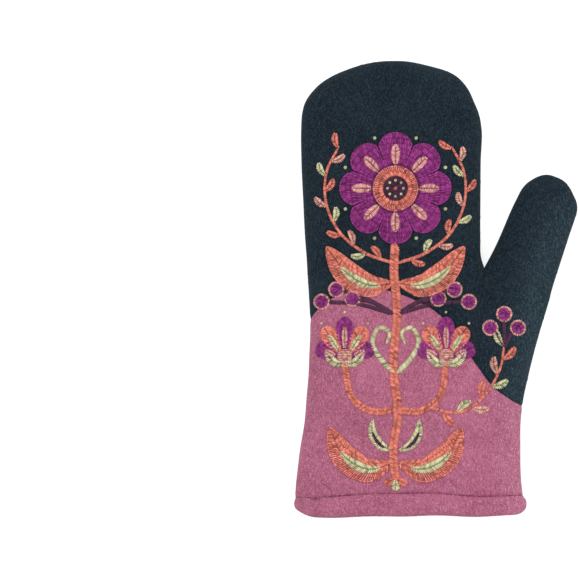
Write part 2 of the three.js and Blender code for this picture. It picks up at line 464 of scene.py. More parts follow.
@dataclass(frozen=True)
class ThreadFinish:
    """Lustrous embroidery thread, whose tone with painted shade and highlights changes from stitch to
    stitch.
    """

    name: str
    colour: Colour
    # The colour of the painted highlight, and how strongly and on which tones it is mixed in
    painted_glint_colour: Colour
    painted_glint: float = 0.2
    painted_glint_power: float = 4
    light: float = 1.3
    light_lift: float = 0.008
    dark: float = 0.16
    ply_scale: float = 2600
    ply_share: float = 0.14
    ply_roughness: float = 0.6
    bump_strength: float = 0.4
    bump_depth: float = 0.1
    roughness: float = 0.42
    dark_roughness: float = 0.16
    sheen: float = 0.04
    sheen_roughness: float = 0.4
    gloss: float = 0.35

    def build(self) -> bpy.types.Material:
        """Makes the material.

        Returns:
            The thread, which reads each stitch's tone, with its painted shade, from the mesh.
        """
        bench = NodeBench(self.name)
        place = bench.add("ShaderNodeTexCoord", output="Object")
        tone = bench.stored("tone")
        ply = bench.noise(self.ply_scale, 2, place, self.ply_roughness)
        light = tuple(min(1.0, self.light * c + self.light_lift) for c in self.colour)
        dark = tuple(self.dark * c for c in self.colour)
        dyed = bench.tint(tone * (1 - self.ply_share) + ply * self.ply_share, dark, light)
        # Painted highlight: the lightest parts of the stitches are mixed towards a paler colour
        shown = bench.tint(tone**self.painted_glint_power * self.painted_glint, dyed, self.painted_glint_colour)
        bump = bench.bump(ply, self.bump_strength, self.bump_depth)
        rough = self.roughness + self.dark_roughness * (1 - tone)
        bench.set(Base_Color=shown, Roughness=rough, Normal=bump)
        bench.set(Sheen_Weight=self.sheen, Sheen_Roughness=self.sheen_roughness)
        bench.set(Specular_IOR_Level=self.gloss)
        return bench.material


@dataclass(frozen=True)
class FibreFinish:
    """Loose wool fibres, whose tone changes from fibre to fibre."""

    name: str
    low: Colour
    high: Colour
    roughness: float = 0.95
    gloss: float = 0.05

    def build(self) -> bpy.types.Material:
        """Makes the material.

        Returns:
            The wool, which reads each fibre's tone from the mesh.
        """
        bench = NodeBench(self.name)
        shown = bench.tint(bench.stored("tone"), self.low, self.high)
        bench.set(Base_Color=shown, Roughness=self.roughness, Specular_IOR_Level=self.gloss)
        return bench.material


# The rub figure of each felt is the strength of its painted sheen of side light
NAVY_FELT = FeltFinish(
    "felt_navy", deep=(0.0036, 0.0070, 0.0112), dye=(0.0112, 0.0188, 0.0278), fleck=(0.037, 0.064, 0.082),
    sheen=(0.35, 0.5, 0.55), nap=0.07, gloss=0.08, fleck_share=0.65, painted_sheen_strength=0.9,
)
PINK_FELT = FeltFinish(
    "felt_pink", deep=(0.250, 0.057, 0.108), dye=(0.42, 0.127, 0.216), fleck=(0.67, 0.33, 0.42),
    sheen=(0.9, 0.7, 0.8), nap=0.12, gloss=0.12, fleck_share=0.55, painted_sheen_strength=0.22,
)
FIBRES = {
    "felt_navy": FibreFinish("fibres_navy", (0.010, 0.018, 0.026), (0.060, 0.092, 0.115)),
    "felt_pink": FibreFinish("fibres_pink", (0.40, 0.125, 0.21), (0.72, 0.38, 0.48)),
}
# Each thread's own colour and the paler colour of its painted highlight
THREADS = {
    Thread.VIOLET: ThreadFinish("thread_violet", (0.30, 0.012, 0.21), painted_glint_colour=(0.36, 0.13, 0.26)),
    Thread.CORAL: ThreadFinish("thread_coral", (0.84, 0.194, 0.134), painted_glint_colour=(0.74, 0.50, 0.42)),
    Thread.GREEN: ThreadFinish("thread_green", (0.63, 0.625, 0.345), painted_glint_colour=(0.66, 0.66, 0.50)),
    Thread.ROSE: ThreadFinish("thread_rose", (0.75, 0.355, 0.29), painted_glint_colour=(0.85, 0.62, 0.53)),
    Thread.PLUM: ThreadFinish("thread_plum", (0.070, 0.010, 0.050), painted_glint_colour=(0.12, 0.04, 0.10)),
}
# Dark mauve painted shade: the hem's stitches are pink thread like the felt, shaded in their groove
SHADED_HEM_THREAD = ThreadFinish("thread_hem_shaded", (0.215, 0.028, 0.092), painted_glint_colour=(0.30, 0.10, 0.18))


def make_piece(name: str, points: Points, faces: Faces, material: bpy.types.Material) -> bpy.types.Object:
    """Makes one smooth piece that rides on the mitten's body.

    Args:
        name: the piece's name.
        points: its vertices, in metres.
        faces: its faces.
        material: its material.

    Returns:
        The new object.
    """
    mesh = bpy.data.meshes.new(name)
    mesh.from_pydata(points.tolist(), [], faces)
    mesh.materials.append(material)
    mesh.shade_smooth()
    piece = bpy.data.objects.new(name, mesh)
    bpy.context.scene.collection.objects.link(piece)
    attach(piece, BODY)
    log.info("%s: %d faces", name, len(mesh.polygons))
    return piece


def give_values(piece: bpy.types.Object, name: str, values: Iterable[float]) -> None:
    """Stores one number for each vertex, for the material to read."""
    attribute = piece.data.attributes.new(name, "FLOAT", "POINT")
    attribute.data.foreach_set("value", np.asarray(values, dtype=np.float32))


def unit(vectors: Points) -> Points:
    """Returns the vectors at length 1."""
    return vectors / np.maximum(np.linalg.norm(vectors, axis=-1, keepdims=True), 1e-12)


def smooth_step(share: Points | float) -> Points:
    """Returns 0 to 1 with a soft start and end."""
    s = np.clip(share, 0, 1)
    return s * s * (3 - 2 * s)


def smooth_rows(rows: Sequence[Row], step: float) -> list[Row]:
    """Adds rows on a smooth curve through the given ones.

    Args:
        rows: the known rows, in order.
        step: the longest step left between rows, in millimetres.

    Returns:
        The known rows and those between them.
    """
    table = np.array(rows)
    place = table[:, 0]
    slopes = np.gradient(table, place, axis=0)
    made = []
    for k in range(len(rows) - 1):
        span = place[k + 1] - place[k]
        for s in np.arange(0, 1, 1 / math.ceil(span / step)):
            bend = (table[k], slopes[k] * span, table[k + 1], slopes[k + 1] * span)
            made.append(Row(*hermite(s, *bend)))
    return [*made, rows[-1]]


def hermite(s: float, start: Points, leave: Points, end: Points, arrive: Points) -> Points:
    """Returns the point at share s of a cubic between two points with given slopes."""
    return (
        (2 * s**3 - 3 * s**2 + 1) * start
        + (s**3 - 2 * s**2 + s) * leave
        + (3 * s**2 - 2 * s**3) * end
        + (s**3 - s**2) * arrive
    )


def spline(points: Route, step: float) -> Points:
    """Draws a smooth line through a few points and walks it in equal steps.

    Args:
        points: the points, in order.
        step: the length of each step.

    Returns:
        Points along the line.
    """
    known = np.array(points, dtype=float)
    if len(known) == 2:
        dense = np.linspace(known[0], known[1], 40)
    else:
        slopes = np.gradient(known, axis=0)
        shares = np.linspace(0, 1, 24, endpoint=False)
        spans = zip(known, slopes, known[1:], slopes[1:])
        dense = np.array([hermite(s, *span) for span in spans for s in shares] + [known[-1]])
    walked = np.concatenate([[0], np.cumsum(np.linalg.norm(np.diff(dense, axis=0), axis=1))])
    wanted = np.linspace(0, walked[-1], max(2, round(walked[-1] / step)) + 1)
    return np.stack([np.interp(wanted, walked, dense[:, k]) for k in range(dense.shape[1])], axis=1)


def bell(distance: Points, reach: float) -> Points:
    """Returns 1 at no distance, falling to 0 on both sides in about twice the reach."""
    return np.exp(-((distance / reach) ** 2))


def painted_sheen_share(points: Points) -> Points:
    """Returns how much paler the painted sheen of side light makes the felt at each point, from 0 to 1."""
    line = spline(PAINTED_SHEEN_LINE, 2.0) * MM
    away = np.linalg.norm(points[:, None, :2] - line[None], axis=2).min(axis=1)
    return bell(away, PAINTED_SHEEN_REACH * MM)


def fans(points: Points, faces: Faces) -> Points:
    """Returns the corners of a skin's triangles, each face taken as a fan."""
    corners = [(face[0], face[k], face[k + 1]) for face in faces for k in range(1, len(face) - 1)]
    return points[np.array(corners)]


def outward_areas(triangles: Points) -> Points:
    """Returns each triangle's way out, as long as its area."""
    return np.cross(triangles[:, 1] - triangles[:, 0], triangles[:, 2] - triangles[:, 0]) / 2


@dataclass(frozen=True)
class MittenForm:
    """The mitten's outer skin in millimetres, by sections across the hand and square to the thumb."""

    seam_height: float = 9.0
    crown_at_mouth: float = 21.0
    crown_at_fingers: float = 15.0
    thumb_crown: float = 11.5
    crown_curve: float = 2.5
    sole_curve: float = 5.0
    sole_clamp: float = 1.12
    shoulder: float = 1 / 2.2
    nose_curve: float = 2.4
    mouth_y: float = -137.0
    fingers_y: float = 108.0
    tip_y: float = 150.3
    thumb_thins_at: float = 40.0
    thumb_tip: float = 73.4
    thumb_root: tuple[float, float] = (54.5, 5.8)
    thumb_root_half: float = 23.5
    thumb_lean: float = math.radians(21)
    crotch: tuple[float, float] = (32.7, 14.2)
    row_bend: float = 60.0
    crotch_dent: float = 34.0
    dent_power: float = 2.2
    hem_proud: float = 2.4
    hem_inside: float = 0.5
    hem_ramp: float = 24.0
    felt: float = 2.6
    line_turn: float = 6.0
    hand_columns: int = 48
    thumb_columns: int = 20
    row_step: float = 2.7
    typical_half: float = 58.0
    thumb_half: float = 22.0

    def nose(self, place: float, start: float, end: float) -> float:
        """Returns 1 at full height, falling to 0 in a round nose between two places."""
        return math.sqrt(1 - min(1.0, max(0.0, (place - start) / (end - start))) ** self.nose_curve)

    def crown(self, y: float) -> float:
        """Returns the height of the back over the side seam at its middle."""
        along = min(1.0, (y - self.mouth_y) / (self.fingers_y - self.mouth_y))
        high = self.crown_at_mouth + (self.crown_at_fingers - self.crown_at_mouth) * along
        return high * self.nose(y, self.fingers_y, self.tip_y)

    def sole(self, y: float) -> float:
        """Returns the depth of the palm below the side seam, less by the hem."""
        lift = self.hem_proud * smooth_step((self.mouth_y + self.hem_ramp - y) / self.hem_ramp)
        return (self.seam_height - lift) * self.nose(y, self.fingers_y, self.tip_y)

    def heights(self, place: Points, crown: float, sole: float) -> tuple[Points, Points]:
        """Gives the felt's height across a section.

        Args:
            place: places from -1 at the left edge to 1 at the right one.
            crown: height over the side seam at the middle.
            sole: depth below it.

        Returns:
            The heights over and under the side seam.
        """
        inside = np.clip(np.abs(place), 0, 1)
        top = crown * (1 - inside**self.crown_curve) ** self.shoulder
        arch = (1 - inside**self.sole_curve) ** self.shoulder
        return top, -sole * np.minimum(1, self.sole_clamp * arch)

    def even_places(self, count: int, half: float, crown: float) -> Points:
        """Spaces columns evenly along the felt of a typical section.

        Args:
            count: the number of steps.
            half: the section's half width.
            crown: its height over the side seam.

        Returns:
            Places from -1 to 1, closer together where the felt turns down to the seam.
        """
        dense = -np.cos(math.pi * np.linspace(0, 1, 2001))
        walked = np.zeros(len(dense))
        for height in self.heights(dense, crown, self.seam_height):
            walked[1:] += np.cumsum(np.hypot(np.diff(dense) * half, np.diff(height)))
        return np.interp(np.linspace(0, walked[-1], count + 1), walked, dense)

    def hand_places(self) -> Points:
        """Returns the columns' places across the hand."""
        return self.even_places(self.hand_columns, self.typical_half, self.crown_at_fingers)

    def thumb_places(self) -> Points:
        """Returns the columns' places across the thumb."""
        return self.even_places(self.thumb_columns, self.thumb_half, self.thumb_crown)

    def section(self, start: Points, end: Points, places: Points, crown: float, sole: float) -> Points:
        """Makes a straight section.

        Args:
            start: its left end.
            end: its right end.
            places: its columns, from -1 to 1.
            crown: height over the side seam.
            sole: depth below it.

        Returns:
            Columns of x, y, top and bottom.
        """
        spots = start + (end - start) * ((places + 1) / 2)[:, None]
        return np.column_stack([spots, *self.heights(places, crown, sole)])

    def thumb_point(self, along: float, across: float) -> Points:
        """Returns a point in the thumb's own frame."""
        lean = self.thumb_lean
        axis = np.array([math.sin(lean), math.cos(lean)])
        side = np.array([math.cos(lean), -math.sin(lean)])
        return np.array(self.thumb_root) + along * axis + across * side

    def crotch_section(self) -> Points:
        """Returns the section through the crotch, bent so that its thumb half is square to the thumb."""
        crotch = np.array(self.crotch)
        left = np.array([FINGER_ROWS[0].left, crotch[1]])
        depth = self.sole(crotch[1])
        hand = self.section(left, crotch, self.hand_places(), self.crown(crotch[1]), depth)
        end = self.thumb_point(0, self.thumb_root_half)
        thumb = self.section(crotch, end, self.thumb_places(), self.thumb_crown, depth)
        return np.vstack([hand, thumb[1:]])

    def body_sections(self, last: Points) -> list[Points]:
        """Makes the sections from the mouth to the crotch.

        Args:
            last: the section through the crotch, whose bend and valley they take on.

        Returns:
            One table of columns for each section.
        """
        rows = smooth_rows(BODY_ROWS, self.row_step)
        places = [row.along for row in rows]
        rights = [row.right for row in rows]
        share = (last[:, 0] - last[0, 0]) / (last[-1, 0] - last[0, 0])
        made = []
        for row in rows:
            below = self.crotch[1] - row.along
            bend = smooth_step(1 - below / self.row_bend)
            dent = np.clip(1 - below / self.crotch_dent, 0, 1) ** self.dent_power
            right = np.interp(row.along + (last[-1, 1] - last[0, 1]) * bend, places, rights)
            x = row.left + (right - row.left) * share
            y = row.along + (last[:, 1] - last[0, 1]) * bend
            top, bottom = self.heights(2 * share - 1, self.crown(row.along), self.sole(row.along))
            top = top + (last[:, 2] - top) * dent
            bottom = bottom + (last[:, 3] - bottom) * dent
            made.append(np.column_stack([x, y, top, bottom]))
        return made

    def ring(self, columns: Points) -> Points:
        """Returns a closed ring: over the back from left to right, then back under the palm."""
        over = np.column_stack([columns[:, :2], self.seam_height + columns[:, 2]])
        under = np.column_stack([columns[:, :2], self.seam_height + columns[:, 3]])
        return np.vstack([over, under[-2:0:-1]])

    def loft(self) -> tuple[Points, Faces]:
        """Skins all the sections.

        Returns:
            The vertices in metres and the faces of one closed body.
        """
        crotch = self.crotch_section()
        body = [self.ring(s) for s in [*self.body_sections(crotch), crotch]]
        fingers = [self.ring(crotch[: self.hand_columns + 1])]
        for row in smooth_rows(FINGER_ROWS, self.row_step)[1:]:
            ends = np.array([row.left, row.along]), np.array([row.right, row.along])
            columns = self.section(*ends, self.hand_places(), self.crown(row.along), self.sole(row.along))
            fingers.append(self.ring(columns))
        thumb = [self.ring(crotch[self.hand_columns :])]
        for row in smooth_rows(THUMB_ROWS, self.row_step)[1:]:
            thin = self.nose(row.along, self.thumb_thins_at, self.thumb_tip)
            ends = self.thumb_point(row.along, row.left), self.thumb_point(row.along, row.right)
            heights = self.thumb_crown * thin, self.seam_height * thin
            thumb.append(self.ring(self.section(*ends, self.thumb_places(), *heights)))
        points: list[Points] = []
        faces: Faces = []
        for rings, open_row in ((body, 0), (fingers, len(fingers) - 1), (thumb, len(thumb) - 1)):
            start = sum(len(p) for p in points)
            size = len(rings[0])
            points.extend(rings)
            for k in range(len(rings) - 1):
                faces.extend(bridge(start + k * size, start + (k + 1) * size, size))
            faces.append(tuple(range(start + open_row * size, start + (open_row + 1) * size)))
        return np.vstack(points) * MM, faces

    def mouth_line(self, points: Points) -> Points:
        """Returns the height in y of the line where the hem is sewn on, over points in metres."""
        sewn = spline([(spot.across, spot.sewn) for spot in HEM_SPOTS], LINE_STEP)
        on_back = np.interp(points[:, 0] / MM, sewn[:, 0], sewn[:, 1])
        share = smooth_step((points[:, 2] / MM - self.seam_height) / self.line_turn)
        return (self.mouth_y + (on_back - self.mouth_y) * share) * MM

    def mouth_ring(self, step: float) -> Points:
        """Walks round the mouth.

        Args:
            step: length of each step, in millimetres.

        Returns:
            A closed ring of points on the felt's outer edge, in metres.
        """
        along, left, right = MOUTH_ROW
        places = self.even_places(200, (right - left) / 2, self.crown_at_mouth)
        ends = np.array([left, along]), np.array([right, along])
        columns = self.section(*ends, places, self.crown(along), self.sole(along))
        ring = self.ring(columns)
        closed = np.vstack([ring, ring[:1]])
        walked = np.concatenate([[0], np.cumsum(np.linalg.norm(np.diff(closed, axis=0), axis=1))])
        wanted = np.linspace(0, walked[-1], round(walked[-1] / step), endpoint=False)
        even = np.stack([np.interp(wanted, walked, closed[:, k]) for k in range(3)], axis=1) * MM
        even[:, 1] = self.mouth_line(even)
        return even


def bridge(near: int, far: int, size: int) -> Faces:
    """Returns the quads between two rings that start at vertices near and far."""
    return [(near + i, near + (i + 1) % size, far + (i + 1) % size, far + i) for i in range(size)]


def baked(piece: bpy.types.Object) -> bpy.types.Mesh:
    """Returns a new mesh of a piece with its modifiers applied."""
    graph = bpy.context.evaluated_depsgraph_get()
    return bpy.data.meshes.new_from_object(piece.evaluated_get(graph))


def mesh_points(mesh: bpy.types.Mesh) -> Points:
    """Returns a mesh's vertices as rows of x, y and z."""
    flat = np.empty(len(mesh.vertices) * 3)
    mesh.vertices.foreach_get("co", flat)
    return flat.reshape(-1, 3)


# Blender's settings for the felt while it is puffed as cloth
CLOTH_SETTINGS = {
    "quality": 4,
    "mass": 0.25,
    "tension_stiffness": 12,
    "compression_stiffness": 12,
    "shear_stiffness": 4,
    "bending_stiffness": 0.8,
    "shrink_min": -0.012,
    "use_pressure": True,
}


@dataclass
class MittenShell:
    """The felt hand: one soft closed skin, opened at the mouth and cut into its four panels."""

    form: MittenForm
    puff: float = 3.5
    puff_frames: int = 18
    puff_limit: float = 2.6
    puff_sideways: float = 0.04
    held_below: float = -118.0
    seam_gap: float = 0.12
    on_line: float = 0.02
    # Each sewn line's painted shade, where its crease is shaded, and how far it draws the felt in
    colour_seam: SeamForm = SeamForm(dark=0.3, shade_reach=0.5, dip=0.5, dip_reach=1.2)
    side_seam: SeamForm = SeamForm(dark=0.8, shade_reach=0.6, dip=0.28, dip_reach=0.9)
    mouth_seam: SeamForm = SeamForm(dark=0.16, shade_reach=0.9, dip=0.5, dip_reach=1.6)
    ease: float = 0.35
    snap: float = 0.15
    swell_takes: tuple[float, float] = (20.0, 10.0)
    most_of_flat: float = 0.99
    points: Points = field(init=False)
    normals: Points = field(init=False)
    faces: Faces = field(init=False)

    def build(self) -> None:
        """Makes the soft skin and cuts it along its seams."""
        soft = self._soft_skin()
        sheet = bmesh.new()
        sheet.from_mesh(soft)
        for value in (self.past_mouth, self.past_colour, self.over_seam):
            self._cut(sheet, value)
        sheet.verts.index_update()
        sheet.normal_update()
        self.points = np.array([v.co for v in sheet.verts])
        self.normals = np.array([v.normal for v in sheet.verts])
        self.faces = [tuple(v.index for v in f.verts) for f in sheet.faces]
        sheet.free()
        self.points = self.points + self.normals * (self._sewn_dip()[:, None] + (self.ease * MM, 0, 0))
        self.points[:, 2] = np.maximum(self.points[:, 2], 0)

    def past_mouth(self, points: Points) -> Points:
        """Returns how far points lie inside the mouth's sewn line."""
        return points[:, 1] - self.form.mouth_line(points)

    def past_colour(self, points: Points) -> Points:
        """Returns how far points lie on the fingers' side of the colour line."""
        line = spline(COLOUR_LINE, LINE_STEP) * MM
        slope = np.gradient(line[:, 1], line[:, 0])
        across = points[:, 1] - np.interp(points[:, 0], line[:, 0], line[:, 1])
        return across / np.sqrt(1 + np.interp(points[:, 0], line[:, 0], slope) ** 2)

    def over_seam(self, points: Points) -> Points:
        """Returns how far points lie over the side seam."""
        return points[:, 2] - self.form.seam_height * MM

    def _sewn_lines(self, points: Points) -> list[tuple[Points, SeamForm]]:
        """Returns how far points lie from each sewn line, in metres, with the line's form."""
        return [
            (self.past_colour(points), self.colour_seam),
            (self.over_seam(points), self.side_seam),
            (self.past_mouth(points), self.mouth_seam),
        ]

    def painted_seam_shade(self, points: Points) -> Points:
        """Returns the shade painted along the sewn lines at each point, 0 from about a millimetre away."""
        lines = self._sewn_lines(points)
        return np.max([seam.dark * bell(away, seam.shade_reach * MM) for away, seam in lines], axis=0)

    def _sewn_dip(self) -> Points:
        """Returns how far each vertex is drawn in by the seams, in metres, below 0."""
        lines = self._sewn_lines(self.points)
        return -np.max([seam.dip * bell(away, seam.dip_reach * MM) for away, seam in lines], axis=0) * MM

    def _soft_skin(self) -> bpy.types.Mesh:
        """Puffs the lofted body as cloth and refines it.

        Returns:
            The fine closed skin.
        """
        points, faces = self.form.loft()
        mesh = bpy.data.meshes.new("skin")
        mesh.from_pydata(points.tolist(), [], faces)
        joined = bmesh.new()
        joined.from_mesh(mesh)
        bmesh.ops.remove_doubles(joined, verts=joined.verts, dist=1e-6)
        bmesh.ops.recalc_face_normals(joined, faces=joined.faces)
        joined.to_mesh(mesh)
        joined.free()
        skin = bpy.data.objects.new("skin", mesh)
        bpy.context.scene.collection.objects.link(skin)
        self._puff(skin)
        fine = skin.modifiers.new("fine", "SUBSURF")
        fine.levels = 1
        fine.render_levels = 1
        result = baked(skin)
        bpy.data.objects.remove(skin)
        return result

    def _puff(self, skin: bpy.types.Object) -> None:
        """Blows the skin up a little as cloth, held at the mouth, and keeps each move small.

        Args:
            skin: the closed skin, whose vertices are moved.
        """
        start = mesh_points(skin.data)
        held = skin.vertex_groups.new(name="held")
        held.add([int(i) for i in np.flatnonzero(start[:, 1] < self.held_below * MM)], 1, "REPLACE")
        cloth = skin.modifiers.new("puff", "CLOTH")
        for key, value in CLOTH_SETTINGS.items():
            setattr(cloth.settings, key, value)
        cloth.settings.vertex_group_mass = held.name
        cloth.settings.uniform_pressure_force = self.puff
        cloth.settings.effector_weights.gravity = 0
        cloth.collision_settings.use_collision = False
        scene = bpy.context.scene
        for number in range(1, self.puff_frames + 1):
            scene.frame_set(number)
        swollen = baked(skin)
        move = mesh_points(swollen) - start
        move[:, :2] *= self.puff_sideways
        length = np.linalg.norm(move, axis=1, keepdims=True)
        move *= np.minimum(1, self.puff_limit * MM / np.maximum(length, 1e-9))
        log.info("puff moved the felt by %.2f mm on average", float(length.mean()) / MM)
        moved = start + move
        moved[:, 2] = np.maximum(moved[:, 2], 0)
        skin.modifiers.clear()
        scene.frame_set(1)
        skin.data.vertices.foreach_set("co", moved.ravel())
        skin.data.update()

    def _cut(self, sheet: bmesh.types.BMesh, value: Field) -> None:
        """Cuts the mesh where a value of its vertices is zero.

        Args:
            sheet: the mesh to cut.
            value: gives the value of each row of a table of points.
        """
        sheet.verts.index_update()
        values = value(np.array([v.co for v in sheet.verts]))
        for edge in sheet.edges:
            near, far = edge.verts
            a, b = values[near.index], values[far.index]
            if a * b >= 0:
                continue
            share = a / (a - b)
            if share < self.snap:
                near.co = near.co.lerp(far.co, share)
                values[near.index] = 0
            elif share > 1 - self.snap:
                far.co = near.co.lerp(far.co, share)
                values[far.index] = 0
        crossed = [e for e in sheet.edges if values[e.verts[0].index] * values[e.verts[1].index] < 0]
        on_line = [v for v in sheet.verts if values[v.index] == 0]
        for edge in crossed:
            near, far = edge.verts
            a, b = values[near.index], values[far.index]
            on_line.append(bmesh.utils.edge_split(edge, near, a / (a - b))[1])
        bmesh.ops.connect_verts(sheet, verts=on_line)

    def panel_faces(self) -> dict[Panel, list[int]]:
        """Sorts the faces into panels.

        Returns:
            The faces of each panel. Those past the mouth are in none.
        """
        middles = np.array([self.points[list(face)].mean(axis=0) for face in self.faces])
        inside = self.past_mouth(middles) > 0
        upper = self.past_colour(middles) > 0
        back = self.over_seam(middles) > 0
        return {
            Panel.BACK_UPPER: np.flatnonzero(inside & back & upper).tolist(),
            Panel.BACK_GAUNTLET: np.flatnonzero(inside & back & ~upper).tolist(),
            Panel.PALM_UPPER: np.flatnonzero(inside & ~back & upper).tolist(),
            Panel.PALM_GAUNTLET: np.flatnonzero(inside & ~back & ~upper).tolist(),
        }

    def ground(self) -> BVHTree:
        """Returns the back's outer face, for thread to lie on."""
        chosen = self.panel_faces()
        faces = [self.faces[i] for panel in (Panel.BACK_UPPER, Panel.BACK_GAUNTLET) for i in chosen[panel]]
        return BVHTree.FromPolygons([Vector(p) for p in self.points], faces)

    def dress(
        self,
        finishes: dict[str, bpy.types.Material],
        nap: "Nap",
        trims: dict[Panel, list[bpy.types.Object]],
    ) -> None:
        """Args:
            finishes: the felt materials by slot.
            nap: what combs fibres out of the felt.
            trims: the pieces sewn on each panel.
        """
        for panel, chosen in self.panel_faces().items():
            upper = panel in (Panel.BACK_UPPER, Panel.PALM_UPPER)
            slot = "felt_navy" if upper else "felt_pink"
            piece, outer, over = self._panel(panel, chosen, finishes[slot])
            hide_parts(panel.value)
            width, length = self._flat_size(outer)
            skin = float(np.linalg.norm(outward_areas(fans(outer, over)), axis=1).sum())
            sewn_on = [*trims.get(panel, []), nap.comb("nap_" + panel.value, slot, outer, over)]

    def _flat_size(self, points: Points) -> tuple[float, float]:
        """Returns the width and length that a panel was cut to, with the felt that its swell takes up."""
        size = points.max(axis=0) - points.min(axis=0)
        return float(size[0]) + self.swell_takes[0] * MM, float(size[1]) + self.swell_takes[1] * MM

    def _panel(
        self, panel: Panel, chosen: list[int], finish: bpy.types.Material
    ) -> tuple[bpy.types.Object, Points, Faces]:
        """Makes one panel of thick felt, closed by an inner face and a rim.

        Args:
            panel: which panel it is.
            chosen: the skin's faces that it takes.
            finish: its material.

        Returns:
            The panel, and the points and faces of its outer skin.
        """
        faces = [self.faces[i] for i in chosen]
        used = sorted({i for face in faces for i in face})
        place = {old: new for new, old in enumerate(used)}
        outer = self._opened_seams(self.points[used], panel)
        inner = outer - self.normals[used] * self.form.felt * MM
        count = len(used)
        over = [tuple(place[i] for i in face) for face in faces]
        under = [tuple(i + count for i in reversed(face)) for face in over]
        edges = {(face[k - 1], face[k]) for face in over for k in range(len(face))}
        rim = [(b, a, a + count, b + count) for a, b in edges if (b, a) not in edges]
        piece = make_piece(panel.value + "_felt", np.vstack([outer, inner]), over + under + rim, finish)
        # Painted shade along the sewn lines, stored for the felt to read
        seam_shade = self.painted_seam_shade(outer)
        give_values(piece, "seam", np.concatenate([seam_shade, seam_shade]))
        # Painted sheen of side light, stored for the felt to read
        painted_sheen = painted_sheen_share(outer)
        give_values(piece, "painted_sheen", np.concatenate([painted_sheen, painted_sheen]))
        return piece, outer, over

    def _opened_seams(self, points: Points, panel: Panel) -> Points:
        """Draws a panel's cut edges back by the seam gap.

        Args:
            points: the panel's outer points.
            panel: which panel it is.

        Returns:
            The moved points.
        """
        moved = points.copy()
        gap = self.seam_gap * MM
        on_side = np.abs(self.over_seam(points)) < self.on_line * MM
        moved[on_side, 2] += gap if panel in (Panel.BACK_UPPER, Panel.BACK_GAUNTLET) else -gap
        on_colour = np.abs(self.past_colour(points)) < self.on_line * MM
        moved[on_colour, 1] += gap if panel in (Panel.BACK_UPPER, Panel.PALM_UPPER) else -gap
        return moved


@dataclass
class Strands:
    """Many thin threads in one mesh, each a closed tube over a few points."""

    points: list[Points] = field(default_factory=list)
    faces: Faces = field(default_factory=list)
    tones: list[Points] = field(default_factory=list)
    count: int = 0
    sides: int = 5

    def add(self, path: Points, normals: Points, width: float, height: float, tone: Points | float) -> None:
        """Adds one thread.

        Args:
            path: the points that it follows, in metres.
            normals: the way up at each point.
            width: its width, in metres.
            height: its height, in metres.
            tone: its tone from 0, dark, to 1, light, for all of it or for each point.
        """
        ahead = unit(np.gradient(path, axis=0))
        side = unit(np.cross(ahead, normals))
        up = np.cross(side, ahead)
        turns = 2 * math.pi * np.arange(self.sides) / self.sides
        across = np.cos(turns)[None, :, None] * side[:, None, :] * width / 2
        rise = np.sin(turns)[None, :, None] * up[:, None, :] * height / 2
        rings = path[:, None, :] + across + rise
        for k in range(len(path) - 1):
            near = self.count + k * self.sides
            self.faces.extend(bridge(near, near + self.sides, self.sides))
        last = self.count + (len(path) - 1) * self.sides
        self.faces.append(tuple(range(self.count + self.sides - 1, self.count - 1, -1)))
        self.faces.append(tuple(range(last, last + self.sides)))
        self.points.append(rings.reshape(-1, 3))
        self.tones.append(np.repeat(np.broadcast_to(tone, len(path)), self.sides))
        self.count += len(path) * self.sides

    def build(self, name: str, slot: str, finish: bpy.types.Material) -> bpy.types.Object:
        """Makes the piece.

        Args:
            name: its name.
            slot: its material slot in the record; not used.
            finish: its material.

        Returns:
            The piece, with each thread's tone on its vertices.
        """
        piece = make_piece(name, np.vstack(self.points), self.faces, finish)
        give_values(piece, "tone", np.concatenate(self.tones))
        return piece


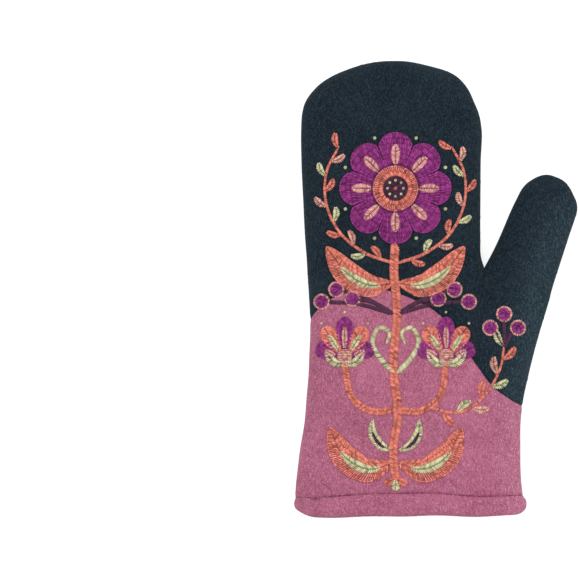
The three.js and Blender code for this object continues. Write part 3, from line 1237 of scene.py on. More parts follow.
@dataclass
class Nap:
    """Loose curly fibres that lie on the felt and stand a little out of it."""

    finishes: dict[str, bpy.types.Material]
    density: float = 3.4
    lengths: tuple[float, float] = (1.3, 4.2)
    curl: float = 1.1
    widths: tuple[float, float] = (0.07, 0.13)
    lift: float = 0.24
    rise_spread: tuple[float, float] = (0.2, 1.0)
    root_sink: float = 0.03
    joints: int = 5
    rng: np.random.Generator = field(default_factory=lambda: np.random.default_rng(23))

    def comb(self, name: str, slot: str, points: Points, faces: Faces) -> bpy.types.Object:
        """Scatters fibres evenly over a skin.

        Args:
            name: the piece's name.
            slot: the felt's material slot in the record.
            points: the skin's vertices, in metres.
            faces: its faces, which face outward.

        Returns:
            The fibres as one piece.
        """
        tree = BVHTree.FromPolygons([Vector(p) for p in points], faces)
        corners = fans(points, faces)
        outward = outward_areas(corners)
        areas = np.linalg.norm(outward, axis=1)
        count = round(float(areas.sum()) / (10 * MM) ** 2 * self.density)
        tuft = Strands(sides=3)
        for chosen in self.rng.choice(len(areas), size=count, p=areas / areas.sum()):
            near, far = np.sort(self.rng.random(2))
            shares = np.array([near, far - near, 1 - far])
            self._fibre(tuft, tree, shares @ corners[chosen], unit(outward[chosen]))
        return tuft.build(name, slot, self.finishes[slot])

    def _fibre(self, tuft: Strands, tree: BVHTree, spot: Points, normal: Points) -> None:
        """Lays one fibre.

        Args:
            tuft: the fibres that it joins.
            tree: the felt's skin.
            spot: where it starts, in metres.
            normal: the way out of the felt there.
        """
        side = unit(np.cross(normal, (0.3, 0.2, 0.93)))
        ahead = np.cross(normal, side)
        share = np.linspace(0, 1, self.joints)[:, None]
        turn = self.rng.uniform(0, 2 * math.pi) + self.rng.normal(0, self.curl) * 2 * share
        step = self.rng.uniform(*self.lengths) * MM / (self.joints - 1)
        path = spot + np.cumsum((np.cos(turn) * side + np.sin(turn) * ahead) * step, axis=0)
        high = self.lift * self.rng.uniform(*self.rise_spread)
        rise = high * np.sin(math.pi * share[:, 0]) - self.root_sink
        normals = np.empty((self.joints, 3))
        for k in range(self.joints):
            nearest, out, _, _ = tree.find_nearest(Vector(path[k]))
            normals[k] = out
            path[k] = np.array(nearest) + normals[k] * (float(rise[k]) * MM)
        width = self.rng.uniform(*self.widths) * MM
        path[:, 2] = np.maximum(path[:, 2], width)
        tuft.add(path, normals, width, width, float(self.rng.random()))


class Mark(NamedTuple):
    """A mark along the roll: its strength, its place from -1, the free edge, to 1, and its reach."""

    strength: float
    place: float
    reach: float

    def at(self, along: Points) -> Points:
        """Returns how strong the mark is at places from -1 to 1."""
        return self.strength * bell(along - self.place, self.reach)


class Wave(NamedTuple):
    """A wave round the mouth: the number of waves, their height, and how far on they start in radians."""

    number: int
    height: float
    start: float

    def at(self, walked: Points) -> Points:
        """Returns the wave at shares of the way round."""
        return self.height * np.sin(2 * math.pi * self.number * walked + self.start)


@dataclass
class RolledHem:
    """The thick rolled hem round the mouth, and the small stitches in the groove above it."""

    form: MittenForm
    step: float = 0.8
    sides: int = 32
    fullness: float = 0.8
    tucked_in: float = 0.35
    left_corner: Corner = Corner(rise=5.7, run=12.5, power=1.5)
    right_corner: Corner = Corner(rise=4.1, run=7.0, power=2.1)
    corner_top: float = 0.96
    drawn_in: float = 1.7
    drawn_reach: float = 16.0
    drag_pitch: float = 9.5
    drag: float = 0.2
    drag_twist: float = 1.4
    drag_swell: Wave = Wave(number=3, height=0.4, start=0.7)
    sway: Wave = Wave(number=7, height=0.25, start=0.0)
    pinch: float = 0.35
    pinched: Mark = Mark(strength=1.0, place=0.9, reach=0.3)
    pucker_at: tuple[float, float] = (-77.5, 2.4)
    pucker_depth: float = 1.3
    # Painted shade on the roll: in the groove under its sewn line, along its free edge and in its pucker
    painted_groove_shade: Mark = Mark(strength=0.16, place=1, reach=0.1)
    painted_edge_shade: Mark = Mark(strength=0.32, place=-1, reach=0.12)
    painted_pucker_shade: Mark = Mark(strength=0.75, place=1, reach=0.35)
    stitch_pitch: float = 2.7
    stitch_lengths: tuple[float, float] = (0.9, 2.6)
    stitch_width: float = 0.85
    stitch_height: float = 0.4
    stitch_sink: float = 0.6
    stitch_rise: float = 1.1
    stitch_tones: tuple[float, float] = (0.4, 1.0)
    stitch_joints: int = 7
    stitch_step: float = 0.25
    uneven: float = 0.15
    wander: float = 0.38

    def build(self, finish: bpy.types.Material) -> bpy.types.Object:
        """Makes the roll.

        Args:
            finish: its felt.

        Returns:
            The hem.
        """
        form = self.form
        ring = form.mouth_ring(self.step)
        outward = self._outward(ring)
        thick = (form.hem_proud + form.felt + form.hem_inside) / 2 * MM
        turns = -2 * math.pi * np.arange(self.sides) / self.sides
        around = self._full(np.cos(turns))[None, :]
        along = self._full(np.sin(turns))[None, :]
        walked = np.arange(len(ring))[:, None] / len(ring)
        sewn = (ring[:, 1] + self.tucked_in * MM)[:, None]
        edge = self._mouth_edge(ring)[:, None]
        middle, half = (sewn + edge) / 2, (sewn - edge) / 2
        drags = round(self.step * len(ring) / self.drag_pitch)
        tucks = round(self.step * len(ring) / self.stitch_pitch)
        swing = np.sin(2 * math.pi * drags * walked + self.drag_twist * turns[None, :])
        slow = 1 - self.drag_swell.height + self.drag_swell.at(walked)
        near_top = self.pinched.at(along)
        tuck = 0.5 + 0.5 * np.cos(2 * math.pi * tucks * walked)
        spot, reach = self.pucker_at
        pucker = bell(ring[:, 0] / MM - spot, reach) * (ring[:, 2] > form.seam_height * MM)
        dent = self.pinch * tuck * near_top + self.pucker_depth * pucker[:, None] * near_top
        drawn = self._drawn(ring)[:, None]
        half_thick = thick - drawn / 2
        out = form.hem_proud * MM - drawn - half_thick
        out = out + (half_thick + (self.drag * swing * slow - dent) * MM) * around
        points = ring[:, None, :] + outward[:, None, :] * out[:, :, None]
        points[:, :, 1] = middle + half * along + self.sway.at(walked) * MM
        flat = points.reshape(-1, 3)
        flat[:, 2] = np.maximum(flat[:, 2], 0)
        faces: Faces = []
        for k in range(len(ring)):
            faces.extend(bridge(k * self.sides, ((k + 1) % len(ring)) * self.sides, self.sides))
        hem = make_piece("rolled_hem_felt", flat, faces, finish)
        # Painted shade of the groove, the free edge and the pucker
        dark = self.painted_groove_shade.at(along) + self.painted_edge_shade.at(along)
        give_values(hem, "seam", (dark + pucker[:, None] * self.painted_pucker_shade.at(along)).ravel())
        # Painted sheen of side light on the roll
        give_values(hem, "painted_sheen", painted_sheen_share(flat))
        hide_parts("rolled_hem")
        return hem

    def _drawn(self, ring: Points) -> Points:
        """Returns how far the roll is drawn in at each point of the ring, only near its left side."""
        from_left = (ring[:, 0] - ring[:, 0].min()) / MM / self.drawn_reach
        return self.drawn_in * MM * smooth_step(1 - from_left)

    def _mouth_edge(self, ring: Points) -> Points:
        """Returns the y of the roll's free edge, drawn up in round corners at both sides."""
        free = spline([(spot.across, spot.free) for spot in HEM_SPOTS], LINE_STEP)
        x = ring[:, 0] / MM
        edge = np.interp(x, free[:, 0], free[:, 1])
        for inward, corner in ((x - x.min(), self.left_corner), (x.max() - x, self.right_corner)):
            turn = self.corner_top * np.clip(1 - inward / corner.run, 0, 1)
            edge += corner.rise * (1 - (1 - turn**corner.power) ** (1 / corner.power))
        return edge * MM

    def stitches(self, finish: bpy.types.Material) -> bpy.types.Object:
        """Makes the stitches that hold the hem.

        Args:
            finish: their thread.

        Returns:
            The stitches as one piece.
        """
        rng = np.random.default_rng(11)
        ring = self.form.mouth_ring(self.stitch_step)
        outward = self._outward(ring)
        drawn = self._drawn(ring)
        strands = Strands()
        share = np.linspace(-1, 1, self.stitch_joints)
        height = self.stitch_rise * (1 - share**4) - self.stitch_sink
        count = round(len(ring) * self.stitch_step / self.stitch_pitch)
        for k in range(count):
            centre = (k + 0.5 + rng.uniform(-self.uneven, self.uneven)) * len(ring) / count
            reach = rng.uniform(*self.stitch_lengths) / self.stitch_step / 2
            spots = np.round(np.linspace(centre - reach, centre + reach, self.stitch_joints))
            chosen = spots.astype(int) % len(ring)
            path = ring[chosen] + outward[chosen] * (height * MM - 0.5 * drawn[chosen])[:, None]
            aside = rng.uniform(-self.wander, self.wander) + rng.uniform(-self.wander, self.wander) * share
            path[:, 1] += (aside + self.tucked_in) * MM
            tone = rng.uniform(*self.stitch_tones)
            strands.add(path, outward[chosen], self.stitch_width * MM, self.stitch_height * MM, tone)
        return strands.build("hem_stitches", "thread_plum", finish)

    def _full(self, value: Points) -> Points:
        """Returns a sine or cosine made fuller, so that the roll is a rounded block."""
        return np.sign(value) * np.abs(value) ** self.fullness

    def _outward(self, ring: Points) -> Points:
        """Returns the way out of the mouth at each point of its ring."""
        reach = max(1, round(1.6 * MM / np.linalg.norm(ring[1] - ring[0])))
        ahead = np.roll(ring, -reach, axis=0) - np.roll(ring, reach, axis=0)
        return unit(np.column_stack([-ahead[:, 2], np.zeros(len(ring)), ahead[:, 0]]))


class RosetteForm(NamedTuple):
    """The parts of the large flower, as shares of its radius."""

    petal_root: float = 0.36
    tongue_tip: float = 0.8
    tongue_width: float = 0.17
    notch: float = 0.98
    ring: float = 0.31
    ring_width: float = 0.17
    dark_line: float = 0.43
    light_line: float = 0.4
    heart: float = 0.24
    heart_knots: float = 0.145


class FanPetal(NamedTuple):
    """One petal of a side flower: its turn in radians, its length, its threads and its knot."""

    turn: float
    length: float
    colour: Thread
    inlay: Thread
    knotted: bool


FAN_PETALS = (
    FanPetal(-1.12, 20, Thread.VIOLET, Thread.ROSE, knotted=False),
    FanPetal(1.12, 20, Thread.VIOLET, Thread.ROSE, knotted=False),
    FanPetal(-0.56, 25, Thread.CORAL, Thread.GREEN, knotted=True),
    FanPetal(0.56, 25, Thread.CORAL, Thread.GREEN, knotted=True),
    FanPetal(0, 28, Thread.VIOLET, Thread.ROSE, knotted=True),
)


class FanForm(NamedTuple):
    """The parts of a side flower, in millimetres and radians."""

    petal_root: float = 4.0
    petal_width: float = 10.5
    petal_belly: float = 1.25
    knot_beyond: float = 3.2
    cup_turn: float = 1.6
    cup_width: float = 5.6
    heart_at: float = 2.5
    heart: float = 4.8


class SprigLeafForm(NamedTuple):
    """A sprig's leaf, as shares of its length: how far on and aside it runs, and its width."""

    middle: tuple[float, float] = (0.45, 0.45)
    tip: tuple[float, float] = (0.95, 0.65)
    width: float = 0.48


class KnotForm(NamedTuple):
    """A wound knot: its points, turns and thread, its radius as a share of its size, and its rise in mm."""

    points: int = 26
    turns: float = 2.5
    thread: float = 0.3
    radius: float = 0.62
    taper: float = 0.34
    start: float = 0.25
    rise: float = 0.75
    tones: tuple[float, float] = (0.35, 0.75)


@dataclass
class Embroidery:
    """A spray in satin stitch: a rosette in a wreath, paired leaves, side flowers, curls and berries."""

    ground: BVHTree
    axis: float = -26.0
    pitch: float = 1.06
    shortest: float = 0.5
    longest: float = 3.2
    back_stitch: float = 2.4
    row: float = 3.3
    stagger: float = 0.4
    thread_width: float = 0.98
    width_spread: tuple[float, float] = (0.85, 1.1)
    thread_height: float = 0.5
    sink: float = 0.4
    layer: float = 0.42
    joints: tuple[int, int] = (5, 7)
    few_joints_below: float = 2.6
    crest_power: float = 4
    ragged: float = 0.12
    stray: float = 0.1
    least_rise: float = 0.34
    rise_by_length: float = 0.07
    longest_rise: float = 9.0
    rise_spread: tuple[float, float] = (0.82, 1.18)
    # How much darker the painted shade makes a stitch's ends, where it dips into the felt
    painted_end_shade: float = 0.8
    tones: tuple[float, float] = (0.68, 0.19)
    shadowed_share: float = 0.06
    shadowed_tone: float = 0.3
    stem_slant: float = 0.45
    stem_tip: float = 0.35
    leaf_slant: float = 0.5
    leaf_curve: float = 0.75
    vein_gap: float = 0.12
    outlined_over: float = 7.0
    bare_root: float = 0.14
    inlay_ends: tuple[float, float] = (0.16, 0.8)
    inlay_width: float = 0.38
    stalk_bow: float = 2.5
    overlap: tuple[float, float] = (-0.1, 0.5)
    petal_round: float = 0.17
    rosette_form: RosetteForm = RosetteForm()
    fan_form: FanForm = FanForm()
    sprig_leaf: SprigLeafForm = SprigLeafForm()
    sprig_threads: tuple[Thread, ...] = (Thread.CORAL, Thread.GREEN, Thread.ROSE)
    knot_form: KnotForm = KnotForm()
    rng: np.random.Generator = field(default_factory=lambda: np.random.default_rng(5))
    skeins: dict[Thread, Strands] = field(default_factory=lambda: {thread: Strands() for thread in Thread})

    def stitch(self, thread: Thread, start: Points, end: Points, level: float = 0, loft: float = 1) -> None:
        """Lays one stitch over the felt.

        Args:
            thread: its colour.
            start: where it comes up, in millimetres.
            end: where it goes down.
            level: how many layers of thread it lies on.
            loft: how full it stands.
        """
        length = float(np.linalg.norm(end - start))
        if length < self.shortest:
            return
        few, many = self.joints
        count = few if length < self.few_joints_below else many
        share = (1 - np.cos(math.pi * np.arange(count) / (count - 1))) / 2
        flat = start + (end - start) * share[:, None]
        full = loft * (self.least_rise + self.rise_by_length * min(length, self.longest_rise))
        lift = full * self.rng.uniform(*self.rise_spread) + level * self.layer
        crest = np.sqrt(1 - np.abs(2 * share - 1) ** self.crest_power)
        rise = -self.sink + (lift + self.sink) * crest
        path = np.empty((count, 3))
        normals = np.empty((count, 3))
        for k, (x, y) in enumerate(flat * MM):
            spot, normal = self.felt_at(float(x), float(y))
            normals[k] = normal
            path[k] = spot + normal * (float(rise[k]) * MM)
        tone = float(np.clip(self.rng.normal(*self.tones), 0, 1))
        if self.rng.random() < self.shadowed_share:
            tone *= self.shadowed_tone
        width = self.thread_width * self.rng.uniform(*self.width_spread) * MM
        # Painted shade: each stitch darkens towards its ends, where it dips into the felt
        tones = tone * (1 - self.painted_end_shade * (1 - crest))
        self.skeins[thread].add(path, normals, width, self.thread_height * MM, tones)

    def run(
        self, thread: Thread, start: Points, end: Points, level: float = 0, loft: float = 1, place: int = 0
    ) -> None:
        """Lays short stitches end to end, whose breaks step aside from row to row as bricks do.

        Args:
            thread: its colour.
            start: where the run starts, in millimetres.
            end: where it ends.
            level: how many layers of thread it lies on.
            loft: how full it stands.
            place: the number of the row.
        """
        count = max(1, round(float(np.linalg.norm(end - start)) / self.longest))
        shift = self.stagger * (place % 3 - 1) / 3
        strays = self.rng.uniform(-self.stray, self.stray, count - 1)
        breaks = (np.arange(1, count) + shift + strays) / count
        marks = [0.0, *breaks, 1.0]
        for near, far in zip(marks, marks[1:]):
            self.stitch(thread, start + (end - start) * near, start + (end - start) * far, level, loft)

    def line(self, thread: Thread, route: Points, level: float = 0) -> None:
        """Sews one line of stitches end to end.

        Args:
            thread: its colour.
            route: points along it, in millimetres.
            level: how many layers of thread it lies on.
        """
        walked = np.concatenate([[0], np.cumsum(np.linalg.norm(np.diff(route, axis=0), axis=1))])
        marks = np.linspace(0, walked[-1], max(1, round(walked[-1] / self.back_stitch)) + 1)
        spots = np.stack([np.interp(marks, walked, route[:, k]) for k in range(2)], axis=1)
        for near, far in zip(spots, spots[1:]):
            self.stitch(thread, near, far, level, loft=1.15)

    def felt_at(self, x: float, y: float) -> tuple[Points, Points]:
        """Finds the felt under a place.

        Args:
            x: the place across, in metres.
            y: the place along, in metres.

        Returns:
            The point on the felt and its normal, leaning half towards straight up.
        """
        spot, normal, _, _ = self.ground.ray_cast(Vector((x, y, 0.2)), Vector((0, 0, -1)))
        if spot is None:
            spot, normal, _, _ = self.ground.find_nearest(Vector((x, y, 0.02)))
        leaning = (normal + Vector((0, 0, 1))).normalized()
        return np.array(spot), np.array(leaning)

    def band(
        self,
        thread: Thread,
        spine: Points,
        left: Points,
        right: Points,
        slant: float = 0.0,
        level: float = 0,
        loft: float = 1,
    ) -> None:
        """Fills a band beside a line with stitches across it.

        Args:
            thread: its colour.
            spine: points along the line, one for each stitch.
            left: how far each stitch reaches to the left of it, in millimetres.
            right: how far it reaches to the right.
            slant: how far its left end runs ahead for each millimetre across.
            level: how many layers of thread it lies on.
            loft: how full it stands.
        """
        ahead = unit(np.gradient(spine, axis=0))
        side = np.column_stack([-ahead[:, 1], ahead[:, 0]])
        for k, spot in enumerate(spine):
            reach, back = np.array([left[k], right[k]]) + self.rng.uniform(-self.ragged, self.ragged, 2)
            drift = ahead[k] * self.rng.uniform(-self.stray, self.stray)
            start = spot + side[k] * reach + ahead[k] * slant * reach + drift
            end = spot - side[k] * back - ahead[k] * slant * back
            self.run(thread, start, end, level, loft, k)

    def stem(self, thread: Thread, points: Route, width: float, taper: float = 0.0) -> None:
        """Sews a rope of slanted stitches along a line.

        Args:
            thread: its colour.
            points: a few points that it runs through.
            width: its width, in millimetres.
            taper: how much of the width is lost towards the far end.
        """
        spine = spline(points, self.pitch)
        share = np.linspace(0, 1, len(spine))
        ends = np.minimum(1, np.minimum(share, 1 - share) * len(spine) / 4 + self.stem_tip)
        half = width / 2 * (1 - taper * share) * ends
        self.band(thread, spine, half, half, slant=self.stem_slant)

    def leaf(
        self,
        thread: Thread,
        points: Route,
        width: float,
        inlay: Thread | None = None,
        level: float = 0,
        belly: float = 0.8,
    ) -> None:
        """Sews an almond leaf in two halves that meet on its vein.

        Args:
            thread: its colour.
            points: a few points along its vein.
            width: its greatest width, in millimetres.
            inlay: the colour of a slim leaf sewn inside it.
            level: how many layers of thread it lies on.
            belly: below 1 its widest place is nearer to its root.
        """
        spine = spline(points, self.pitch)
        share = np.linspace(0, 1, len(spine))
        half = width / 2 * np.sin(math.pi * share**belly) ** self.leaf_curve
        gap = np.full(len(spine), -self.vein_gap)
        self.band(thread, spine, half, gap, slant=self.leaf_slant, level=level)
        self.band(thread, spine[::-1], half[::-1], gap, slant=-self.leaf_slant, level=level)
        if width > self.outlined_over:
            ahead = unit(np.gradient(spine, axis=0))
            side = np.column_stack([-ahead[:, 1], ahead[:, 0]])
            for hand in (1, -1):
                edge = spine + (hand * side + self.leaf_slant * ahead) * half[:, None]
                self.line(thread, edge[share > self.bare_root], level=level + 0.4)
        if inlay is not None:
            first, last = (int(end * len(spine)) for end in self.inlay_ends)
            vein = spine[first:last][:: max(1, len(spine) // 8)].tolist()
            self.leaf(inlay, vein, width * self.inlay_width, level=level + 1)

    def disc(self, thread: Thread, centre: Spot, radius: float, turn: float, level: float = 0) -> None:
        """Fills a circle with parallel stitches.

        Args:
            thread: its colour.
            centre: its middle, in millimetres.
            radius: its radius.
            turn: the direction that the rows follow, in radians.
            level: how many layers of thread it lies on.
        """
        ahead = np.array([math.cos(turn), math.sin(turn)])
        steps = np.arange(-radius + self.pitch / 2, radius, self.pitch)
        spine = np.array(centre) + steps[:, None] * ahead
        half = np.sqrt(radius**2 - steps**2)
        self.band(thread, spine, half, half, level=level, loft=1.15)

    def hoop(self, thread: Thread, centre: Spot, radius: float, width: float, level: float = 0) -> None:
        """Sews a ring of stitches that point to its middle.

        Args:
            thread: its colour.
            centre: its middle, in millimetres.
            radius: the radius of its midline.
            width: the length of its stitches.
            level: how many layers of thread it lies on.
        """
        count = round(2 * math.pi * radius / self.pitch)
        turns = 2 * math.pi * np.arange(count) / count
        spine = np.array(centre) + radius * np.column_stack([np.cos(turns), np.sin(turns)])
        half = np.full(count, width / 2)
        self.band(thread, spine, half, half, level=level, loft=1.1)

    def knot(self, thread: Thread, x: float, y: float, size: float, level: float = 0) -> None:
        """Ties a small wound knot.

        Args:
            thread: its colour.
            x: its place across, in millimetres.
            y: its place along.
            size: its diameter.
            level: how many layers of thread it lies on.
        """
        spot, normal = self.felt_at(x * MM, y * MM)
        form = self.knot_form
        share = np.linspace(0, 1, form.points)
        turns = np.linspace(0, 2 * math.pi * form.turns, form.points)
        radius = size / 2 * (form.radius - form.taper * share)
        height = (level * self.layer + form.start + form.rise * share) * MM
        wound = np.column_stack([np.cos(turns) * radius, np.sin(turns) * radius, 0 * turns]) * MM
        path = wound + spot + np.outer(height, normal)
        tone = float(self.rng.uniform(*form.tones))
        width = form.thread * size * MM
        self.skeins[thread].add(path, np.tile(normal, (form.points, 1)), width, width, tone)

    def mirrored(self, points: Route) -> list[Spot]:
        """Returns points on the other side of the spray's axis."""
        return [(2 * self.axis - x, y) for x, y in points]

    def both(self, sew: Callable[[Route], None], points: Route) -> None:
        """Sews a motif on the left of the axis and again on the right."""
        sew(points)
        sew(self.mirrored(points))

    def petal(
        self, thread: Thread, middle: Points, heading: float, spread: float, reach: tuple[float, float]
    ) -> None:
        """Fills a round-ended petal with rows of stitches that point to the middle, and outlines it.

        Args:
            thread: its colour.
            middle: the flower's middle, in millimetres.
            heading: the way that the petal points, in radians.
            spread: half of the angle that it takes up.
            reach: how far from the middle it starts and ends.
        """
        inner, outer = reach
        edges = np.linspace(inner, outer, max(1, round((outer - inner) / self.row)) + 1)
        for near, far in zip(edges, edges[1:]):
            count = max(3, round(spread * (near + far) / self.pitch))
            for place in range(count):
                aside = 2 * (place + 0.5) / count - 1
                spoke = self._spoke(middle, heading + spread * aside)
                end = min(far + self.rng.uniform(*self.overlap), self._petal_edge(aside, outer))
                start = near - self.rng.uniform(*self.overlap)
                if end > start + 1:
                    self.run(thread, spoke(end), spoke(start), level=0.7, place=place)
        asides = np.linspace(-1, 1, 17)
        rim = [self._spoke(middle, heading + spread * a)(self._petal_edge(a, outer)) for a in asides]
        root = [self._spoke(middle, heading + spread * a)(inner) for a in (-1, 1)]
        self.line(thread, np.array([root[0], *rim, root[1]]), level=1.1)

    def _petal_edge(self, aside: float, outer: float) -> float:
        """Returns how far a petal reaches at a share of its width to either side."""
        return outer * (1 - self.petal_round * abs(aside) ** 2.6)

    def rosette(self, centre: Spot, reach: float, petals: int) -> None:
        """Sews the large flower: petals with a slim tongue on each, round a heart of rings and knots.

        Args:
            centre: its middle, in millimetres.
            reach: its radius.
            petals: its number of petals.
        """
        form = self.rosette_form
        middle = np.array(centre)
        root = form.petal_root * reach
        for k in range(petals):
            heading = 2 * math.pi * k / petals
            self.petal(Thread.VIOLET, middle, heading, 0.93 * math.pi / petals, (root, reach))
            spoke = self._spoke(middle, heading)
            tongue = [tuple(spoke(root)), tuple(spoke(form.tongue_tip * reach))]
            self.leaf(Thread.ROSE, tongue, form.tongue_width * reach, level=1.9, belly=1.1)
            notch = self._spoke(middle, 2 * math.pi * (k + 0.5) / petals)
            self.knot(Thread.GREEN, *notch(form.notch * reach), size=2.8)
        self.hoop(Thread.CORAL, centre, reach * form.ring, reach * form.ring_width, level=1.4)
        self.line(Thread.PLUM, self._circle(centre, reach * form.dark_line), level=2)
        self.line(Thread.CORAL, self._circle(centre, reach * form.light_line), level=2)
        self.disc(Thread.PLUM, centre, reach * form.heart, turn=0.6)
        for k in range(8):
            spoke = self._spoke(middle, 2 * math.pi * k / 8)
            self.knot(Thread.GREEN, *spoke(form.heart_knots * reach), size=2.2, level=1)
        self.knot(Thread.CORAL, *centre, size=2.8, level=1)

    def _circle(self, centre: Spot, radius: float) -> Points:
        """Returns points round a circle, the first one again at its end."""
        turns = np.linspace(0, 2 * math.pi, 49)
        return np.array(centre) + radius * np.column_stack([np.cos(turns), np.sin(turns)])

    def _spoke(self, middle: Points, turn: float) -> Callable[[float], Points]:
        """Returns the points on a line out of a middle, by their distance."""
        way = np.array([math.cos(turn), math.sin(turn)])
        return lambda distance: middle + way * distance

    def fan_flower(self, root: Route) -> None:
        """Sews a side flower: a fan of petals in a cup of two small leaves.

        Args:
            root: the flower's root and a point that it opens towards.
        """
        form = self.fan_form
        base = np.array(root[0])
        way = unit(np.array(root[1]) - base)
        heading = math.atan2(way[1], way[0])
        for petal in FAN_PETALS:
            spoke = self._spoke(base, heading + petal.turn)
            vein = [tuple(spoke(form.petal_root)), tuple(spoke(petal.length))]
            self.leaf(petal.colour, vein, form.petal_width, petal.inlay, belly=form.petal_belly)
            if petal.knotted:
                self.knot(Thread.GREEN, *spoke(petal.length + form.knot_beyond), size=2.1)
        for turn in (-form.cup_turn, form.cup_turn):
            spoke = self._spoke(base, heading + turn)
            cup = [tuple(base - way * 3), tuple(spoke(7) - way), tuple(spoke(13) + way * 6)]
            self.leaf(Thread.GREEN, cup, form.cup_width, level=0.6)
        self.disc(Thread.ROSE, tuple(base + way * form.heart_at), form.heart, heading, level=1)

    def berries(self, spots: Route) -> None:
        """Sews a forked sprig: a plum stalk from the first place and a berry at each other one.

        Args:
            spots: where the stalk starts, and each berry's place.
        """
        for x, y in spots[1:]:
            bend = (0.5 * (spots[0][0] + x), 0.5 * (spots[0][1] + y) + self.stalk_bow)
            self.stem(Thread.PLUM, [spots[0], bend, (x, y)], width=2.6)
        for place, spot in enumerate(spots[1:]):
            self.disc(Thread.VIOLET, spot, radius=4.2, turn=0.5 + 0.9 * place, level=0.4)
            self.hoop(Thread.ROSE, spot, radius=4.6, width=1.4, level=0.2)

    def sprig(self, points: Route, leaves: int, size: float) -> None:
        """Sews a thin stem with small leaves on both sides in turn.

        Args:
            points: a few points that the stem runs through.
            leaves: the number of leaves.
            size: a leaf's length, in millimetres.
        """
        self.stem(Thread.CORAL, points, width=2.2, taper=0.3)
        form = self.sprig_leaf
        spine = spline(points, 1.0)
        ahead = unit(np.gradient(spine, axis=0))
        for k in range(leaves):
            spot = round((k + 0.9) / leaves * (len(spine) - 1))
            side = np.array([-ahead[spot][1], ahead[spot][0]]) * (1 if k % 2 else -1)
            root = spine[spot] + side * 0.2
            vein = [tuple(root)]
            for on, aside in (form.middle, form.tip):
                vein.append(tuple(root + (on * ahead[spot] + aside * side) * size))
            thread = self.sprig_threads[k % len(self.sprig_threads)]
            self.leaf(thread, vein, form.width * size, belly=0.95)

    def from_axis(self, *spots: Spot) -> list[Spot]:
        """Returns places on the left of the axis, from how far each lies out of it and its y."""
        return [(self.axis - out, y) for out, y in spots]

    def sew(self) -> None:
        """Sews the whole spray, from what lies lowest to what lies on top."""
        axis, at = self.axis, self.from_axis
        self.both(self.berries, at((1, -16), (28, -6), (38.5, 0), (48, -8)))
        self.both(
            lambda p: self.stem(Thread.CORAL, p, width=4.8, taper=0.1),
            at((0, -78), (16, -79), (29, -69), (33, -48)),
        )
        self.both(
            lambda p: self.stem(Thread.GREEN, p, width=3.8, taper=0.45),
            at((1, -54), (9, -46), (15, -35), (11, -25), (4, -28), (6, -35)),
        )
        self.both(
            lambda p: self.sprig(p, leaves=10, size=9),
            at((1, 17), (20, 24), (36, 37), (45, 56), (45, 76), (37, 93)),
        )
        lower_sprig = self.mirrored(at((22, -77), (42, -80), (58, -69), (68, -52), (71, -36)))
        self.sprig(lower_sprig, leaves=8, size=10.5)
        self.berries([(axis + 71, -38), (axis + 62, -25), (axis + 71, -16), (axis + 80, -25)])
        trunk = at((0, -124), (1.5, -104), (-1.5, -80), (1.5, -50), (-1, -16), (1, 12), (0, 30.5))
        self.stem(Thread.CORAL, trunk, width=5.8)
        self.both(
            lambda p: self.leaf(Thread.CORAL, p, width=16.5, inlay=Thread.GREEN),
            at((1, 4), (17, 3), (32, 11), (45, 28)),
        )
        self.both(
            lambda p: self.leaf(Thread.CORAL, p, width=17, inlay=Thread.GREEN),
            at((1, -113), (18, -117), (34, -108), (43, -90)),
        )
        self.both(
            lambda p: self.leaf(Thread.GREEN, p, width=6.4, inlay=Thread.PLUM),
            at((2, -105), (10, -101), (15, -93), (15, -84)),
        )
        self.both(self.fan_flower, at((33, -46), (33, -20)))
        self._bud((axis, -123))
        self.rosette((axis, 66), reach=36, petals=8)

    def _bud(self, root: Spot) -> None:
        """Sews three slim leaves that hang from the foot of the trunk.

        Args:
            root: where they start, in millimetres.
        """
        x, y = root
        for turn, length in ((-0.75, 11), (0.75, 11), (0, 12)):
            tip = (x + length * math.sin(turn), y + 4 - length * math.cos(turn))
            self.leaf(Thread.CORAL if turn else Thread.GREEN, [root, tip], width=5.4, belly=1.0)

    def build(self, finishes: dict[str, bpy.types.Material]) -> list[bpy.types.Object]:
        """Sews the spray and makes one piece for each thread.

        Args:
            finishes: the thread materials by slot.

        Returns:
            The pieces.
        """
        self.sew()
        pieces = []
        for thread, skein in self.skeins.items():
            slot = thread.value
            pieces.append(skein.build(slot.replace("thread_", "spray_"), slot, finishes[slot]))
        return pieces


class Lamp(NamedTuple):
    """A soft light: its name, where it hangs, the side of its square, and its power in watts."""

    name: str
    place: tuple[float, float, float]
    size: float
    power: float


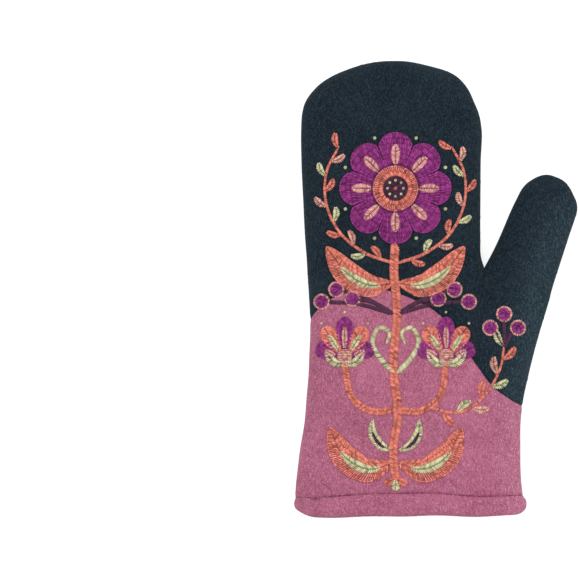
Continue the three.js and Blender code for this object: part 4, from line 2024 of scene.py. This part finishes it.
@dataclass
class Studio:
    """A white table, soft light and a camera straight above, framed as the photograph is."""

    pixel: float = 0.6565 * MM
    pixels: int = 580
    centre_x: float = -94.7 * MM
    centre_y: float = -0.3 * MM
    subject_height: float = 9 * MM
    distance: float = 2.4
    sensor: float = 36.0
    world_strength: float = 0.8
    table_greys: tuple[float, float] = (0.40, 0.43)
    table_glow: float = 0.78
    table_reach: float = 3.0
    table_below: float = 0.2 * MM
    lamps: tuple[Lamp, ...] = (
        Lamp("key", place=(-0.4, 0.9, 1.5), size=1.2, power=12),
        Lamp("fill", place=(0.8, 0.1, 0.9), size=0.8, power=3.6),
    )

    def build(self) -> None:
        """Makes the camera, the floor and the lights."""
        scene = bpy.context.scene
        data = bpy.data.cameras.new("camera")
        data.sensor_width = self.sensor
        data.lens = self.sensor * self.distance / (self.pixel * self.pixels)
        data.clip_end = 20
        camera = bpy.data.objects.new("camera", data)
        camera.location = (self.centre_x, self.centre_y, self.distance + self.subject_height)
        scene.collection.objects.link(camera)
        scene.camera = camera
        scene.view_settings.view_transform = "Standard"
        self._floor()
        for lamp in self.lamps:
            self._hang(lamp)
        world = bpy.data.worlds.new("studio")
        world.use_nodes = True
        background = world.node_tree.nodes["Background"]
        background.inputs["Color"].default_value = (1, 1, 1, 1)
        background.inputs["Strength"].default_value = self.world_strength
        scene.world = world

    def _floor(self) -> None:
        """Makes the table that the mitten lies on."""
        bench = NodeBench("table")
        place = bench.add("ShaderNodeTexCoord", output="Object")
        low, high = self.table_greys
        shown = bench.tint(bench.noise(6, 2, place), (low, low, low), (high, high, high))
        bench.set(Base_Color=shown, Roughness=0.8)
        bench.set(Emission_Color=(1.0, 1.0, 1.0), Emission_Strength=self.table_glow)
        mesh = bpy.data.meshes.new("table")
        reach = self.table_reach
        corners = [(-reach, -reach, 0), (reach, -reach, 0), (reach, reach, 0), (-reach, reach, 0)]
        mesh.from_pydata(corners, [], [(0, 1, 2, 3)])
        mesh.materials.append(bench.material)
        floor = bpy.data.objects.new("table", mesh)
        floor.location.z = -self.table_below
        bpy.context.scene.collection.objects.link(floor)

    def _hang(self, lamp: Lamp) -> None:
        """Hangs one soft light that faces the mitten.

        Args:
            lamp: its name, place, size and power.
        """
        data = bpy.data.lights.new(lamp.name, "AREA")
        data.size = lamp.size
        data.energy = lamp.power
        light = bpy.data.objects.new(lamp.name, data)
        light.location = lamp.place
        light.rotation_mode = "QUATERNION"
        light.rotation_quaternion = (-Vector(lamp.place)).to_track_quat("-Z", "Y")
        bpy.context.scene.collection.objects.link(light)


def main() -> None:
    """Builds the mitten's pieces in order."""
    logging.basicConfig(level=logging.INFO, format="%(name)s: %(message)s")
    Studio().build()
    felts = {finish.name: finish.build() for finish in (NAVY_FELT, PINK_FELT)}
    threads = {thread.value: finish.build() for thread, finish in THREADS.items()}
    form = MittenForm()
    shell = MittenShell(form)
    shell.build()
    hem = RolledHem(form)
    roll = hem.build(felts["felt_pink"])
    nap = Nap({slot: finish.build() for slot, finish in FIBRES.items()})
    roll_faces = [tuple(p.vertices) for p in roll.data.polygons]
    hem_nap = nap.comb("nap_hem", "felt_pink", mesh_points(roll.data), roll_faces)
    # The hem stitches' dark mauve thread colour is painted shade
    sewn_on = [roll, hem_nap, hem.stitches(SHADED_HEM_THREAD.build())]
    spray = Embroidery(shell.ground()).build(threads)
    shell.dress(felts, nap, {Panel.BACK_UPPER: spray, Panel.BACK_GAUNTLET: sewn_on})


if __name__ == "__main__":
    main()
